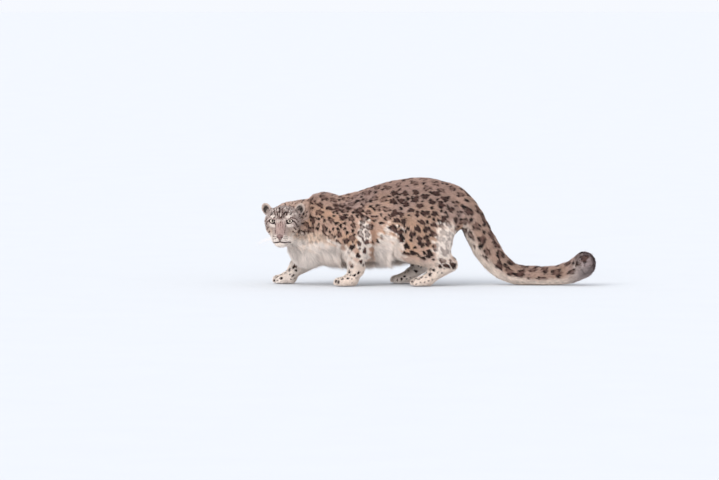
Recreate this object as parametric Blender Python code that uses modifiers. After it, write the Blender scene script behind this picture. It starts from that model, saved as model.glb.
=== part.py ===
"""A life-size snow leopard in a low stalking crouch, its head turned to its left.

Metres, +Z up. The animal faces -X and looks towards -Y, and its soles lie at z = 0. The body and
the head are each built as overlapping lofts and ovals, fused into one smooth skin at the outline
of the winter coat, and then parted by thin flat cuts into the sub-parts that have names.
"""

import math

import bmesh
import bpy
from mathutils import Matrix, Vector

# Driving dimensions
RUMP_HEIGHT = 0.513
WITHERS_HEIGHT = 0.441
BELLY_HEIGHT = 0.086
TRUNK_HALF_WIDTH = 0.138
HEAD_HALF_WIDTH = 0.086
EYE_SPACING = 0.082
EYE_RADIUS = 0.0155
EYE_DEPTH = -0.0615
EYE_OPENING = (0.0136, 0.0100)
EAR_RADII = (0.0250, 0.0130, 0.0300)
PAW_SIZE = (0.124, 0.104, 0.062)
HIND_PAW_SIZE = (0.118, 0.096, 0.058)
GAP = 0.0004

# How the head sits: its centre, between the ears, and how far it turns past -Y towards -X
HEAD_CENTRE = Vector((-0.684, -0.112, 0.285))
HEAD_TURN = math.radians(-6.6)
HEAD_FRAME = Matrix.Translation(HEAD_CENTRE) @ Matrix.Rotation(HEAD_TURN, 4, "Z")

# The skins: the size of their cells, the passes that round them, and the triangles kept
BODY_CELL, BODY_ROUNDING, BODY_TRIANGLES = 0.006, 11, 2580
HEAD_CELL, HEAD_ROUNDING, HEAD_TRIANGLES = 0.0028, 4, 2000
LARGE_SIDES, SMALL_SIDES = 32, 16

LEFT, RIGHT = -1, 1
SIDE_NAMES = {LEFT: "left", RIGHT: "right"}

COAT_COLOUR = (0.40, 0.31, 0.27, 1.0)
NOSE_COLOUR = (0.30, 0.16, 0.14, 1.0)
EYE_COLOUR = (0.42, 0.45, 0.36, 1.0)

# The tail's line: down behind the rump, along the floor, and its end curled up to the left.
# Each station is x, y, z, half across and half deep.
TAIL_STATIONS = [
    (0.066, 0.000, 0.436, 0.052, 0.056),
    (0.133, 0.000, 0.403, 0.057, 0.060),
    (0.186, 0.000, 0.336, 0.060, 0.064),
    (0.228, 0.000, 0.254, 0.061, 0.066),
    (0.271, 0.000, 0.171, 0.061, 0.067),
    (0.330, -0.003, 0.096, 0.058, 0.060),
    (0.405, -0.008, 0.052, 0.054, 0.052),
    (0.500, -0.014, 0.044, 0.052, 0.049),
    (0.590, -0.016, 0.045, 0.053, 0.050),
    (0.662, -0.020, 0.060, 0.056, 0.055),
    (0.716, -0.044, 0.088, 0.060, 0.061),
    (0.730, -0.086, 0.108, 0.057, 0.059),
]


def clear_scene():
    for obj in list(bpy.data.objects):
        bpy.data.objects.remove(obj)


def new_collection(name, shown=True):
    collection = bpy.data.collections.new(name)
    bpy.context.scene.collection.children.link(collection)
    collection.hide_render = not shown
    return collection


def material(name, colour, roughness):
    made = bpy.data.materials.new(name)
    made.use_nodes = True
    shader = made.node_tree.nodes["Principled BSDF"]
    shader.inputs["Base Color"].default_value = colour
    shader.inputs["Roughness"].default_value = roughness
    shader.inputs["Metallic"].default_value = 0.0
    return made


def object_from(bm, name):
    mesh = bpy.data.meshes.new(name)
    bm.to_mesh(mesh)
    bm.free()
    obj = bpy.data.objects.new(name, mesh)
    HELPERS.objects.link(obj)
    return obj


# Forms that the skins are fused from


def smooth_stations(stations, steps):
    """More stations along the same smooth run, by a Catmull-Rom curve through all their numbers."""
    found = []
    last = len(stations) - 1
    for i in range(last):
        a, b, c, d = (stations[min(max(j, 0), last)] for j in range(i - 1, i + 3))
        for step in range(steps):
            t = step / steps
            found.append(
                tuple(
                    0.5 * (2 * q + (r - p) * t + (2 * p - 5 * q + 4 * r - s) * t**2
                           + (3 * q - p - 3 * r + s) * t**3)
                    for p, q, r, s in zip(a, b, c, d)
                )
            )
    return found + [tuple(stations[-1])]


def domed(stations, rounding):
    """The stations with a dome added past each end, as deep as its half-width times rounding."""
    domes = []
    for end, inner in ((stations[0], stations[1]), (stations[-1], stations[-2])):
        way = (Vector(end[:3]) - Vector(inner[:3])).normalized()
        dome = []
        for degrees in (30, 55, 75):
            turn = math.radians(degrees)
            at = Vector(end[:3]) + way * math.sin(turn) * min(end[3:5]) * rounding
            dome.append((*at, end[3] * math.cos(turn), end[4] * math.cos(turn)))
        domes.append(dome)
    return domes[0][::-1] + stations + domes[1]


def loft(stations, steps=4, sides=24, rounding=0.8, bulge=0.0, limb=False):
    """A closed form along stations of (x, y, z, half across, half deep).

    Across is level and square to the run, or as near to +Y as it can be on a limb. A bulge over 0
    moves the widest line down the section, and under 0 moves it up.
    """
    rings = domed(smooth_stations(stations, steps), rounding)
    centres = [Vector(r[:3]) for r in rings]
    bm = bmesh.new()
    loops = []
    for i, (centre, ring) in enumerate(zip(centres, rings)):
        run = (centres[min(i + 1, len(rings) - 1)] - centres[max(i - 1, 0)]).normalized()
        across = run.cross(Vector((0, 0, 1)))
        if limb:
            across = Vector((0, 1, 0)) - run * run.y
        across.normalize()
        deep = across.cross(run)
        loop = []
        for k in range(sides):
            turn = 2 * math.pi * k / sides
            width = ring[3] * math.cos(turn) * (1 - bulge * math.sin(turn))
            loop.append(bm.verts.new(centre + across * width + deep * ring[4] * math.sin(turn)))
        loops.append(loop)
    for one, other in zip(loops, loops[1:]):
        for k in range(sides):
            j = (k + 1) % sides
            bm.faces.new((one[k], one[j], other[j], other[k]))
    bm.faces.new(loops[0][::-1])
    bm.faces.new(loops[-1])
    bmesh.ops.recalc_face_normals(bm, faces=bm.faces)
    return object_from(bm, "loft")


def oval(centre, radii, tilt=(0, 0, 0), frame=Matrix.Identity(4), sides=LARGE_SIDES):
    """An ellipsoid. The tilt is in degrees about X, Y and Z."""
    bm = bmesh.new()
    bmesh.ops.create_uvsphere(bm, u_segments=sides, v_segments=sides // 2, radius=1.0)
    turn = Matrix.Identity(4)
    for degrees, axis in zip(tilt, "XYZ"):
        turn = Matrix.Rotation(math.radians(degrees), 4, axis) @ turn
    place = frame @ Matrix.Translation(Vector(centre)) @ turn @ Matrix.Diagonal((*radii, 1))
    bmesh.ops.transform(bm, matrix=place, verts=bm.verts)
    return object_from(bm, "oval")


def head_oval(centre, radii, tilt=(0, 0, 0), sides=LARGE_SIDES):
    return oval(centre, radii, tilt, HEAD_FRAME, sides)


def head_pair(centre, radii, tilt=(0, 0, 0), sides=LARGE_SIDES):
    """The same oval on each side of the head, mirrored."""
    x, y, z = centre
    a, b, c = tilt
    return [head_oval((s * x, y, z), radii, (a, s * b, s * c), sides) for s in (LEFT, RIGHT)]


def in_head(profile):
    """Stations down the middle of the head, from (y, z, half across, half deep), in the world."""
    return [(*(HEAD_FRAME @ Vector((0, y, z))), across, deep) for y, z, across, deep in profile]


def trunk_forms():
    """The barrel of the body from the chest to the rump: (x, top, bottom, half-width)."""
    profile = [
        (-0.618, 0.378, 0.150, 0.078),
        (-0.560, 0.404, 0.108, 0.104),
        (-0.490, 0.418, 0.090, 0.122),
        (-0.400, 0.427, BELLY_HEIGHT, 0.133),
        (-0.310, 0.445, BELLY_HEIGHT, TRUNK_HALF_WIDTH),
        (-0.210, 0.476, 0.090, TRUNK_HALF_WIDTH),
        (-0.120, 0.500, 0.110, 0.134),
        (-0.040, RUMP_HEIGHT, 0.148, 0.127),
        (0.040, 0.510, 0.190, 0.118),
        (0.100, 0.492, 0.236, 0.098),
        (0.140, 0.464, 0.285, 0.072),
    ]
    stations = [
        (x, 0.0, (top + bottom) / 2, half_width, (top - bottom) / 2)
        for x, top, bottom, half_width in profile
    ]
    return [loft(stations, bulge=0.13, sides=LARGE_SIDES)]


def neck_forms():
    """The neck with its ruff, turning from the shoulders towards the head, and the deep chest."""
    x, y, z = HEAD_CENTRE
    stations = [
        (-0.470, 0.004, 0.294, 0.112, 0.118),
        (-0.560, 0.004, 0.294, 0.104, 0.114),
        (-0.625, -0.012, 0.291, 0.094, 0.108),
        (-0.668, -0.050, z + 0.002, 0.086, 0.102),
        (x + 0.004, y + 0.010, z, 0.074, 0.086),
    ]
    throat = oval((-0.618, -0.026, 0.200), (0.066, 0.092, 0.088), (0, -14, 0))
    brisket = oval((-0.562, 0.0, 0.165), (0.100, 0.114, 0.080))
    return [loft(stations), throat, brisket]


def paw_forms(ankle, centre, size):
    """A broad furry paw pointing to -X, its pads at z = 0, with four toes side by side."""
    x, y = centre
    length, width, height = size
    palm = oval((x + 0.16 * length, y, 0.44 * height), (0.36 * length, 0.46 * width, 0.56 * height))
    instep = loft(
        [
            (*ankle, 0.36 * width, 0.40 * width),
            (x + 0.20 * length, y, 0.60 * height, 0.40 * width, 0.40 * height),
        ],
        limb=True,
    )
    toes = [
        oval(
            (x - forward * length, y + across * width, 0.33 * height),
            (0.235 * length, 0.155 * width, 0.42 * height),
            (0, -6, across * 26),
        )
        for across, forward in ((-0.36, 0.16), (-0.125, 0.27), (0.125, 0.27), (0.36, 0.16))
    ]
    return [palm, instep, *toes]


def foreleg_forms(side, shoulder, elbow, wrist, paw):
    """Shoulder blade, upper arm, forearm and paw. Joints are (x, z), the paw is (x, y)."""
    y = side * 0.100
    blade = loft(
        [
            (-0.497, side * 0.040, WITHERS_HEIGHT - 0.036, 0.040, 0.076),
            (-0.496, side * 0.067, 0.350, 0.047, 0.090),
            (shoulder[0] + 0.024, side * 0.090, shoulder[1] + 0.01, 0.051, 0.084),
        ],
        limb=True,
    )
    middle = [(a + b) / 2 for a, b in zip(shoulder, elbow)]
    upper = loft(
        [
            (shoulder[0] + 0.010, y, shoulder[1], 0.052, 0.080),
            (middle[0], y * 1.04, middle[1] + 0.008, 0.053, 0.082),
            (elbow[0], y * 1.05, elbow[1], 0.049, 0.062),
        ],
        limb=True,
    )
    below = [0.62 * a + 0.38 * b for a, b in zip(elbow, wrist)]
    forearm = loft(
        [
            (elbow[0] + 0.002, y * 1.05, elbow[1] + 0.02, 0.047, 0.057),
            (below[0], y * 1.08, below[1], 0.045, 0.053),
            (wrist[0], paw[1], wrist[1], 0.041, 0.045),
        ],
        limb=True,
    )
    return [blade, upper, forearm, *paw_forms((wrist[0], paw[1], wrist[1]), paw, PAW_SIZE)]


def hindleg_forms(side, knee, hock, paw):
    """Thigh, shank, long foot and paw. Joints are (x, z), the paw is (x, y)."""
    y = side * 0.104
    thigh = loft(
        [
            (0.052, side * 0.064, 0.392, 0.052, 0.096),
            (0.022, side * 0.086, 0.335, 0.056, 0.116),
            (0.5 * knee[0] - 0.004, y, 0.270, 0.058, 0.108),
            (knee[0] + 0.014, y * 1.08, knee[1] + 0.012, 0.050, 0.068),
        ],
        limb=True,
    )
    # The long fur behind the thigh, which hides the hollow above the hock
    trousers = loft(
        [
            (hock[0] - 0.030, side * 0.084, 0.300, 0.048, 0.052),
            (hock[0] - 0.054, y, 0.225, 0.050, 0.060),
            (hock[0] - 0.062, y * 1.04, 0.165, 0.044, 0.056),
        ],
        limb=True,
    )
    shank = loft(
        [
            (knee[0], y * 1.12, knee[1], 0.048, 0.062),
            ((knee[0] + hock[0]) / 2, y * 1.12, (knee[1] + hock[1]) / 2 + 0.004, 0.046, 0.058),
            (hock[0] - 0.006, y * 1.06, hock[1] + 0.002, 0.035, 0.039),
        ],
        limb=True,
    )
    heel = (hock[0], y * 1.06, hock[1], 0.032, 0.035)
    ball = (paw[0] + 0.042, paw[1], 0.044)
    middle = [(a + b) / 2 for a, b in zip(heel, ball)]
    foot = loft([heel, (*middle, 0.034, 0.032), (*ball, 0.038, 0.031)], limb=True)
    return [thigh, trousers, shank, foot, *paw_forms(ball, paw, HIND_PAW_SIZE)]


def tail_forms():
    return [loft(TAIL_STATIONS, steps=5, rounding=1.0)]


def head_forms():
    """The head in its own frame: origin at the skull's centre, the face to -Y."""
    w = HEAD_HALF_WIDTH
    skull = [
        (0.085, 0.000, 0.060, 0.080),
        (0.050, 0.000, 0.077, 0.092),
        (0.012, -0.001, w, 0.096),
        (-0.018, -0.005, w - 0.003, 0.093),
        (-0.036, -0.013, w - 0.010, 0.081),
        (-0.050, -0.022, 0.063, 0.064),
    ]
    muzzle = [
        (-0.026, -0.030, 0.050, 0.058),
        (-0.058, -0.034, 0.047, 0.052),
        (-0.080, -0.044, 0.043, 0.045),
        (-0.098, -0.051, 0.038, 0.038),
    ]
    bridge = [
        (-0.038, 0.032, 0.027, 0.022),
        (-0.060, 0.015, 0.024, 0.022),
        (-0.082, -0.007, 0.0215, 0.021),
        (-0.102, -0.030, 0.020, 0.018),
    ]
    forms = [
        loft(in_head(skull), rounding=0.24, bulge=-0.22, sides=LARGE_SIDES),
        loft(in_head(muzzle), rounding=0.35, bulge=0.10),
        loft(in_head(bridge), rounding=0.6),
        head_oval((0, -0.028, 0.050), (0.048, 0.034, 0.041)),
        head_oval((0, -0.083, -0.083), (0.028, 0.028, 0.0170)),
        head_oval((0, -0.045, -0.076), (0.036, 0.052, 0.026), (-8, 0, 0)),
    ]
    # Brows, cheekbones, the ruff under the cheeks, whisker pads and the lids round the eyes
    forms += head_pair((0.036, -0.043, 0.046), (0.024, 0.022, 0.016))
    forms += head_pair((0.050, -0.032, -0.008), (0.030, 0.036, 0.034), (0, 0, -24))
    forms += head_pair((0.028, 0.000, -0.056), (0.030, 0.052, 0.040), (0, 14, 0))
    forms += head_pair((0.0205, -0.092, -0.055), (0.0235, 0.0240, 0.0210), (0, 0, -10))
    lid = EYE_RADIUS + 0.0032
    forms += head_pair(eye_place(RIGHT), (lid, lid, lid))
    return forms


def head_side(side):
    """The sign of x on that side in the head's frame, where the face looks to -Y."""
    return -side


def eye_place(side):
    return head_side(side) * EYE_SPACING / 2, EYE_DEPTH, 0.0245


def ear_frame(side):
    """Where an ear stands on the head: out to the side, leaning out and turned a little out."""
    x = head_side(side)
    return (
        HEAD_FRAME
        @ Matrix.Translation((x * 0.0785, 0.010, 0.077))
        @ Matrix.Rotation(math.radians(26 * x), 4, "Y")
        @ Matrix.Rotation(math.radians(18 * x), 4, "Z")
    )


# Fusing, cutting and naming


def modify(obj, kind, **settings):
    modifier = obj.modifiers.new(kind.title(), kind)
    for name, value in settings.items():
        setattr(modifier, name, value)
    return modifier


def baked(obj):
    """The object with its modifiers made real."""
    graph = bpy.context.evaluated_depsgraph_get()
    mesh = bpy.data.meshes.new_from_object(obj.evaluated_get(graph))
    obj.modifiers.clear()
    obj.data = mesh
    return obj


def fused(pieces, name, cell, rounding, triangles):
    """One smooth closed skin round overlapping forms, thinned to a number of triangles."""
    bm = bmesh.new()
    for piece in pieces:
        bm.from_mesh(piece.data)
        bpy.data.objects.remove(piece)
    obj = object_from(bm, name)
    modify(obj, "REMESH", mode="VOXEL", voxel_size=cell)
    modify(obj, "SMOOTH", factor=0.5, iterations=rounding)
    obj = baked(obj)
    share = triangles / (2 * len(obj.data.polygons))
    modify(obj, "DECIMATE", ratio=share, use_collapse_triangulate=True)
    return baked(obj)


def copy_of(obj):
    made = bpy.data.objects.new(obj.name, obj.data.copy())
    HELPERS.objects.link(made)
    return made


def combined(obj, operation, other):
    """The object united with, cut by or kept inside another, which is used up."""
    modify(obj, "BOOLEAN", operation=operation, object=other, solver="EXACT")
    obj = baked(obj)
    bpy.data.objects.remove(other)
    return obj


def grown(obj):
    """A copy of a closed mesh with its surface moved out by the gap between parts."""
    made = copy_of(obj)
    modify(made, "DISPLACE", strength=GAP, mid_level=0.0)
    return baked(made)


def without_crumbs(obj):
    """Only the largest connected part of the mesh."""
    bm = bmesh.new()
    bm.from_mesh(obj.data)
    waiting = set(bm.verts)
    parts = []
    while waiting:
        part = {waiting.pop()}
        edge_of_part = set(part)
        while edge_of_part:
            near = {e.other_vert(v) for v in edge_of_part for e in v.link_edges} - part
            part |= near
            edge_of_part = near
        waiting -= part
        parts.append(part)
    largest = max(parts, key=len)
    bmesh.ops.delete(bm, geom=[v for v in bm.verts if v not in largest], context="VERTS")
    bm.to_mesh(obj.data)
    bm.free()
    return obj


def slab(point, way, size, margin=0.0):
    """A box whose near face is centred on the point and that reaches from there along the way.

    The size is half across, half tall and the reach. Across is along Y where the way lies in the
    XZ plane, and level where the way runs sideways.
    """
    way = Vector(way).normalized()
    across = Vector((1, 0, 0)) if abs(way.y) > 0.7 else Vector((0, 1, 0))
    tall = way.cross(across).normalized()
    across = tall.cross(way)
    half_across, half_tall, reach = size
    bm = bmesh.new()
    bmesh.ops.create_cube(bm, size=1.0)
    axes = Matrix((across, tall, way)).transposed().to_4x4()
    whole = (2 * (half_across + margin), 2 * (half_tall + margin), reach + 2 * margin)
    place = (
        Matrix.Translation(Vector(point) + way * reach / 2) @ axes @ Matrix.Diagonal((*whole, 1))
    )
    bmesh.ops.transform(bm, matrix=place, verts=bm.verts)
    return object_from(bm, "slab")


def part_off(skin, point, way, size):
    """Parts the skin at a plane: returns what lies beyond it, in a box, and what is left."""
    piece = combined(copy_of(skin), "INTERSECT", slab(point, way, size))
    rest = combined(skin, "DIFFERENCE", slab(point, way, size, GAP))
    return without_crumbs(piece), without_crumbs(rest)


def part_off_paw(skin, side, paw, height):
    return part_off(skin, (paw[0] + 0.015, side * 0.140, height), (0, 0, -1), (0.100, 0.100, 0.1))


def part_off_foreleg(skin, side, joints, pieces):
    """Adds the paw, forearm and upper arm to the pieces, and returns the rest of the skin."""
    shoulder, elbow, wrist, paw = joints
    name = SIDE_NAMES[side]
    pieces["forepaw_" + name], skin = part_off_paw(skin, side, paw, 0.066)
    way = Vector((wrist[0] - elbow[0], 0, wrist[1] - elbow[1])).normalized()
    start = Vector((elbow[0], side * 0.162, elbow[1])) + way * 0.015
    pieces["forearm_" + name], skin = part_off(skin, start, way, (0.100, 0.078, 0.250))
    front, back = min(shoulder[0], elbow[0]) - 0.100, max(shoulder[0], elbow[0]) + 0.070
    low, high = elbow[1] - 0.045, WITHERS_HEIGHT - 0.035
    start = ((front + back) / 2, side * 0.080, (low + high) / 2)
    size = ((back - front) / 2, (high - low) / 2, 0.2)
    pieces["upper_arm_" + name], skin = part_off(skin, start, (0, side, 0), size)
    return skin


def part_off_hindleg(skin, side, joints, pieces):
    """Adds the paw, long foot, shank and thigh to the pieces, and returns the rest of the skin."""
    knee, hock, paw = joints
    name = SIDE_NAMES[side]
    pieces["hind_paw_" + name], skin = part_off_paw(skin, side, paw, 0.056)
    start = (hock[0] - 0.062, side * 0.162, hock[1] - 0.0195)
    pieces["hind_foot_" + name], skin = part_off(skin, start, (0.148, 0, -0.989), (0.1, 0.11, 0.1))
    down = Vector((hock[1] - knee[1], 0, knee[0] - hock[0])).normalized()
    middle = Vector(((knee[0] + hock[0]) / 2, side * 0.162, (knee[1] + hock[1]) / 2))
    pieces["shank_" + name], skin = part_off(skin, middle - down * 0.045, down, (0.1, 0.168, 0.15))
    front, back = knee[0] - 0.056, hock[0] + 0.040
    low, high = 0.5 * (knee[1] + hock[1]), 0.462
    start = ((front + back) / 2, side * 0.074, (low + high) / 2)
    size = ((back - front) / 2, (high - low) / 2, 0.2)
    pieces["thigh_" + name], skin = part_off(skin, start, (0, side, 0), size)
    return skin


def part_off_tail(skin, pieces):
    """Adds five lengths of the tail to the pieces, from its tip to its root."""
    for number, station, half_tall in ((5, 9, 0.13), (4, 7, 0.10), (3, 5, 0.16), (2, 3, 0.085)):
        before, point, after = (Vector(TAIL_STATIONS[station + i][:3]) for i in (-1, 0, 1))
        size = (0.120, half_tall, 0.260)
        pieces[f"tail_{number}"], skin = part_off(skin, point, after - before, size)
    pieces["tail_1"], skin = part_off(skin, (0.157, 0, 0.350), (1, 0, -0.1), (0.12, 0.2, 0.2))
    return skin


def make_ear(side, head):
    """A short rounded ear: a cup, open to the front, with a thick rim, standing on the head."""
    frame = ear_frame(side)
    a, b, c = EAR_RADII
    hollow = oval((0, -b * 0.95, 0.002), (a * 0.74, b * 1.05, c * 0.76), frame=frame, sides=SMALL_SIDES)
    ear = combined(oval((0, 0, 0), EAR_RADII, frame=frame, sides=SMALL_SIDES), "DIFFERENCE", hollow)
    return without_crumbs(combined(ear, "DIFFERENCE", grown(head)))


def make_nose():
    """The nose pad, broad above and with a nostril on each side."""
    nose = combined(
        head_oval((0, -0.1110, -0.0460), (0.0165, 0.0115, 0.0100), sides=SMALL_SIDES),
        "UNION",
        head_oval((0, -0.1100, -0.0525), (0.0095, 0.0110, 0.0090), sides=SMALL_SIDES),
    )
    for nostril in head_pair((0.0090, -0.1225, -0.0485), (0.0036, 0.0050, 0.0026), sides=8):
        nose = combined(nose, "DIFFERENCE", nostril)
    return nose


def part_off_head(skin, pieces):
    """Adds the head, with its jaw, nose, eyes and ears, to the pieces.

    The body's skin only lends the head its place: the head comes from a finer skin of its own.
    """
    turn = Matrix.Rotation(math.radians(-14.5), 4, "Z") @ Matrix.Rotation(math.radians(-25), 4, "X")
    way = HEAD_FRAME.to_3x3() @ (turn.to_3x3() @ Vector((0, -1, 0)))
    cut = (HEAD_FRAME @ Vector((0, 0.055, 0)), way, (0.118, 0.25, 0.35))
    fine = fused(head_forms() + neck_forms(), "head", HEAD_CELL, HEAD_ROUNDING, HEAD_TRIANGLES)
    head = without_crumbs(combined(fine, "INTERSECT", slab(*cut)))
    skin = without_crumbs(combined(skin, "DIFFERENCE", slab(*cut, GAP)))

    mouth = (HEAD_FRAME @ Vector((0, -0.084, -0.0745)), (0, 0, -1), (0.048, 0.050, 0.05))
    pieces["jaw"], head = part_off(head, *mouth)
    nose = make_nose()
    head = combined(head, "DIFFERENCE", grown(nose))
    pieces["nose"] = nose
    for side in (LEFT, RIGHT):
        name = SIDE_NAMES[side]
        x, y, z = eye_place(side)
        r = EYE_RADIUS
        eye = head_oval((x, y, z), (r, r, r), sides=SMALL_SIDES)
        opening_radii = (EYE_OPENING[0], 0.030, EYE_OPENING[1])
        opening = head_oval((x, EYE_DEPTH - 0.022, z), opening_radii, sides=SMALL_SIDES)
        head = combined(head, "DIFFERENCE", grown(eye))
        head = without_crumbs(combined(head, "DIFFERENCE", opening))
        pieces["eye_" + name] = eye
    for side in (LEFT, RIGHT):
        pieces["ear_" + SIDE_NAMES[side]] = make_ear(side, head)
    pieces["head"] = head
    return skin


def build():
    """Every named piece of the animal, in a dictionary."""
    forelegs = {
        LEFT: ((-0.504, 0.285), (-0.340, 0.225), (-0.341, 0.074), (-0.390, LEFT * 0.110)),
        RIGHT: ((-0.535, 0.270), (-0.470, 0.165), (-0.622, 0.080), (-0.680, RIGHT * 0.098)),
    }
    hindlegs = {
        LEFT: ((-0.124, 0.178), (0.112, 0.104), (-0.036, LEFT * 0.116)),
        RIGHT: ((-0.190, 0.182), (0.022, 0.110), (-0.128, RIGHT * 0.112)),
    }
    forms = trunk_forms() + neck_forms() + tail_forms() + head_forms()
    for side in (LEFT, RIGHT):
        forms += foreleg_forms(side, *forelegs[side]) + hindleg_forms(side, *hindlegs[side])
    skin = fused(forms, "body", BODY_CELL, BODY_ROUNDING, BODY_TRIANGLES)
    skin = combined(skin, "DIFFERENCE", slab((0, 0, 0), (0, 0, -1), (2, 2, 0.5)))

    pieces = {}
    skin = part_off_head(skin, pieces)
    skin = part_off_tail(skin, pieces)
    for side in (LEFT, RIGHT):
        skin = part_off_foreleg(skin, side, forelegs[side], pieces)
        skin = part_off_hindleg(skin, side, hindlegs[side], pieces)
    pieces["neck"], skin = part_off(skin, (-0.572, 0, 0.320), (-1, 0, 0), (0.160, 0.130, 0.2))
    pieces["trunk"] = skin
    return pieces


def centre_on_floor(pieces):
    """Moves the pieces so that the bottom centre of the box round them all is the origin."""
    corners = [v.co for obj in pieces for v in obj.data.vertices]
    low = [min(c[i] for c in corners) for i in range(3)]
    high = [max(c[i] for c in corners) for i in range(3)]
    shift = Vector((-(low[0] + high[0]) / 2, -(low[1] + high[1]) / 2, -low[2]))
    for obj in pieces:
        obj.data.transform(Matrix.Translation(shift))


def finish_piece(obj, name, surface):
    obj.name = name
    obj.data.name = name
    obj.data.materials.clear()
    obj.data.materials.append(surface)
    for collection in list(obj.users_collection):
        collection.objects.unlink(obj)
    LEOPARD.objects.link(obj)
    obj.data.shade_smooth()
    obj.data.set_sharp_from_angle(angle=math.radians(50))


clear_scene()
LEOPARD = new_collection("snow_leopard")
HELPERS = new_collection("cutters", shown=False)
PIECES = build()
centre_on_floor(PIECES.values())
for piece_name, piece_object in PIECES.items():
    if piece_name.startswith("eye"):
        look = material(piece_name, EYE_COLOUR, 0.08)
    elif piece_name == "nose":
        look = material(piece_name, NOSE_COLOUR, 0.45)
    else:
        look = material(piece_name, COAT_COLOUR, 0.9)
    finish_piece(piece_object, piece_name, look)
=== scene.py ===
"""Looks for a life-size snow leopard in its winter coat: skin, fur, markings, eyes, nose and whiskers.

The skin is one mesh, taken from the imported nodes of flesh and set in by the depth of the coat. The
coat is made of closed, tapering tufts that stand on that skin and lie the way the hair grows.
Lengths are in metres. The animal faces -X, its left side is -Y, and its face is turned to -Y.
"""

import math

import bmesh
import bpy
import numpy as np
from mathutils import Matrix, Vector
from mathutils.bvhtree import BVHTree
from mathutils.kdtree import KDTree


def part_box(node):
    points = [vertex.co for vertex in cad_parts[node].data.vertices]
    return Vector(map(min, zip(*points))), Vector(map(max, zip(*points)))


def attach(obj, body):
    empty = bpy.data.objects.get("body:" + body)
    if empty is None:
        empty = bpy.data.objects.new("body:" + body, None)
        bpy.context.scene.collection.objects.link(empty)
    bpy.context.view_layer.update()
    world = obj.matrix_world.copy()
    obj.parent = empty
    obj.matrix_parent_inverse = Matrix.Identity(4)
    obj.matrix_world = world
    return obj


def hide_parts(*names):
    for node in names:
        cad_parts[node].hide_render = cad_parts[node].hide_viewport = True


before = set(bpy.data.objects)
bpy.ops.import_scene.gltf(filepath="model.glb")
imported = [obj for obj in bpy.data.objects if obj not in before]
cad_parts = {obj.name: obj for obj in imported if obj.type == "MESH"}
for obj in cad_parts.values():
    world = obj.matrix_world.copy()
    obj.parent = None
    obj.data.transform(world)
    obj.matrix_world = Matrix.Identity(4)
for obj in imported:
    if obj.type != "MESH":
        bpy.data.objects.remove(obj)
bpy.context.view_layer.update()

# The nodes of flesh, the skin's cells, the cuts behind and beside the head's finer skin, and the rounds
# of smoothing of the facets and of the coat's depth
HEAD_AND_JAW = ("head", "jaw")
HEAD_NODES = HEAD_AND_JAW + ("ear_left", "ear_right")
BARE_NODES = ("eye_left", "eye_right", "nose")
BODY_NODES = tuple(sorted(set(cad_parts) - set(HEAD_NODES + BARE_NODES)))
FLESH = HEAD_NODES + BODY_NODES
BODY_CELL = 0.0062
HEAD_CELL = 0.0024
SWELL = 0.0006
WELD = 0.00001
NAPE_POINT = np.array((0.0, 0.055, 0.0))
NAPE_WAY = np.array((-0.227, -0.877, 0.423))
NAPE_OVERLAP, NAPE_FIRST_CUT = 0.046, 0.0828
NAPE_TUCK = 0.003
HEAD_SIDE, HEAD_FIRST_SIDE = 0.112, 0.1456
HEAD_ROUNDS, BODY_ROUNDS = (14, 6), (8, 10)

# The paws, and the clefts between their toes: places across the paw, width, depth and length
PAWS = ("forepaw_left", "forepaw_right", "hind_paw_left", "hind_paw_right")
CLEFTS = (-0.25, 0.0, 0.25)
CLEFT_WIDTH, CLEFT_DEPTH, TOE_LENGTH = 0.0075, 0.0080, 0.046

# The head's own frame: x to the face's left, y to the back of the skull, z up
EYE_IN_HEAD = np.array((0.041, -0.0615, 0.0245))
NOSE_IN_HEAD = np.array((0.0, -0.118, -0.046))
EYE_RADIUS = 0.0155
CORNEA_RISE = 0.0006
SOCKET_RADIUS = 0.0158
IRIS_ANGLE = math.radians(47)
PUPIL_ANGLE = math.radians(17)
LID_WIDTH_ANGLE = math.radians(52)
UPPER_LID_ANGLE = math.radians(27)
LOWER_LID_ANGLE = math.radians(31)
LID_SLANT = math.radians(14)
LID_OUTWARD = 0.16
EAR_SIZE = np.array((0.025, 1.0, 0.030))

# Rings of colour from the pupil outwards: the angle from the line of sight, and a screen colour
IRIS_RINGS = (
    (PUPIL_ANGLE * 0.93, (2, 2, 3)),
    (PUPIL_ANGLE * 1.04, (168, 152, 136)),
    (PUPIL_ANGLE * 1.6, (234, 219, 205)),
    (IRIS_ANGLE * 0.86, (208, 192, 178)),
    (IRIS_ANGLE * 0.96, (92, 80, 72)),
    (IRIS_ANGLE * 1.00, (20, 16, 14)),
    (IRIS_ANGLE * 1.25, (64, 48, 42)),
)

# The lids' section, as degrees past the edge of their opening and millimetres from the eye's centre
LID_PROFILE = (
    (0.0, 15.6), (-1.0, 16.2), (-0.6, 17.0), (1.8, 17.7), (6.0, 18.2), (13.0, 18.7),
    (21.0, 18.6), (29.0, 17.4), (33.0, 16.2), (25.0, 15.65), (12.0, 15.6),
)
LID_STEPS = 96
LID_ROUNDNESS = 1.75

# The lips on one half of the face, as |x| and z, and how deep and wide they are pressed in
MOUTH_LINE = ((0.000, -0.0715), (0.010, -0.0740), (0.021, -0.0750), (0.031, -0.0757), (0.039, -0.0775))
LIP_GROOVE = ((0.0, -0.060), (0.0, -0.0715))
MOUTH_FRONT = -0.055
GROOVE_DEPTH = 0.0030
LIP_RISE = 0.0008
GROOVE_WIDTH = 0.00416

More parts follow.
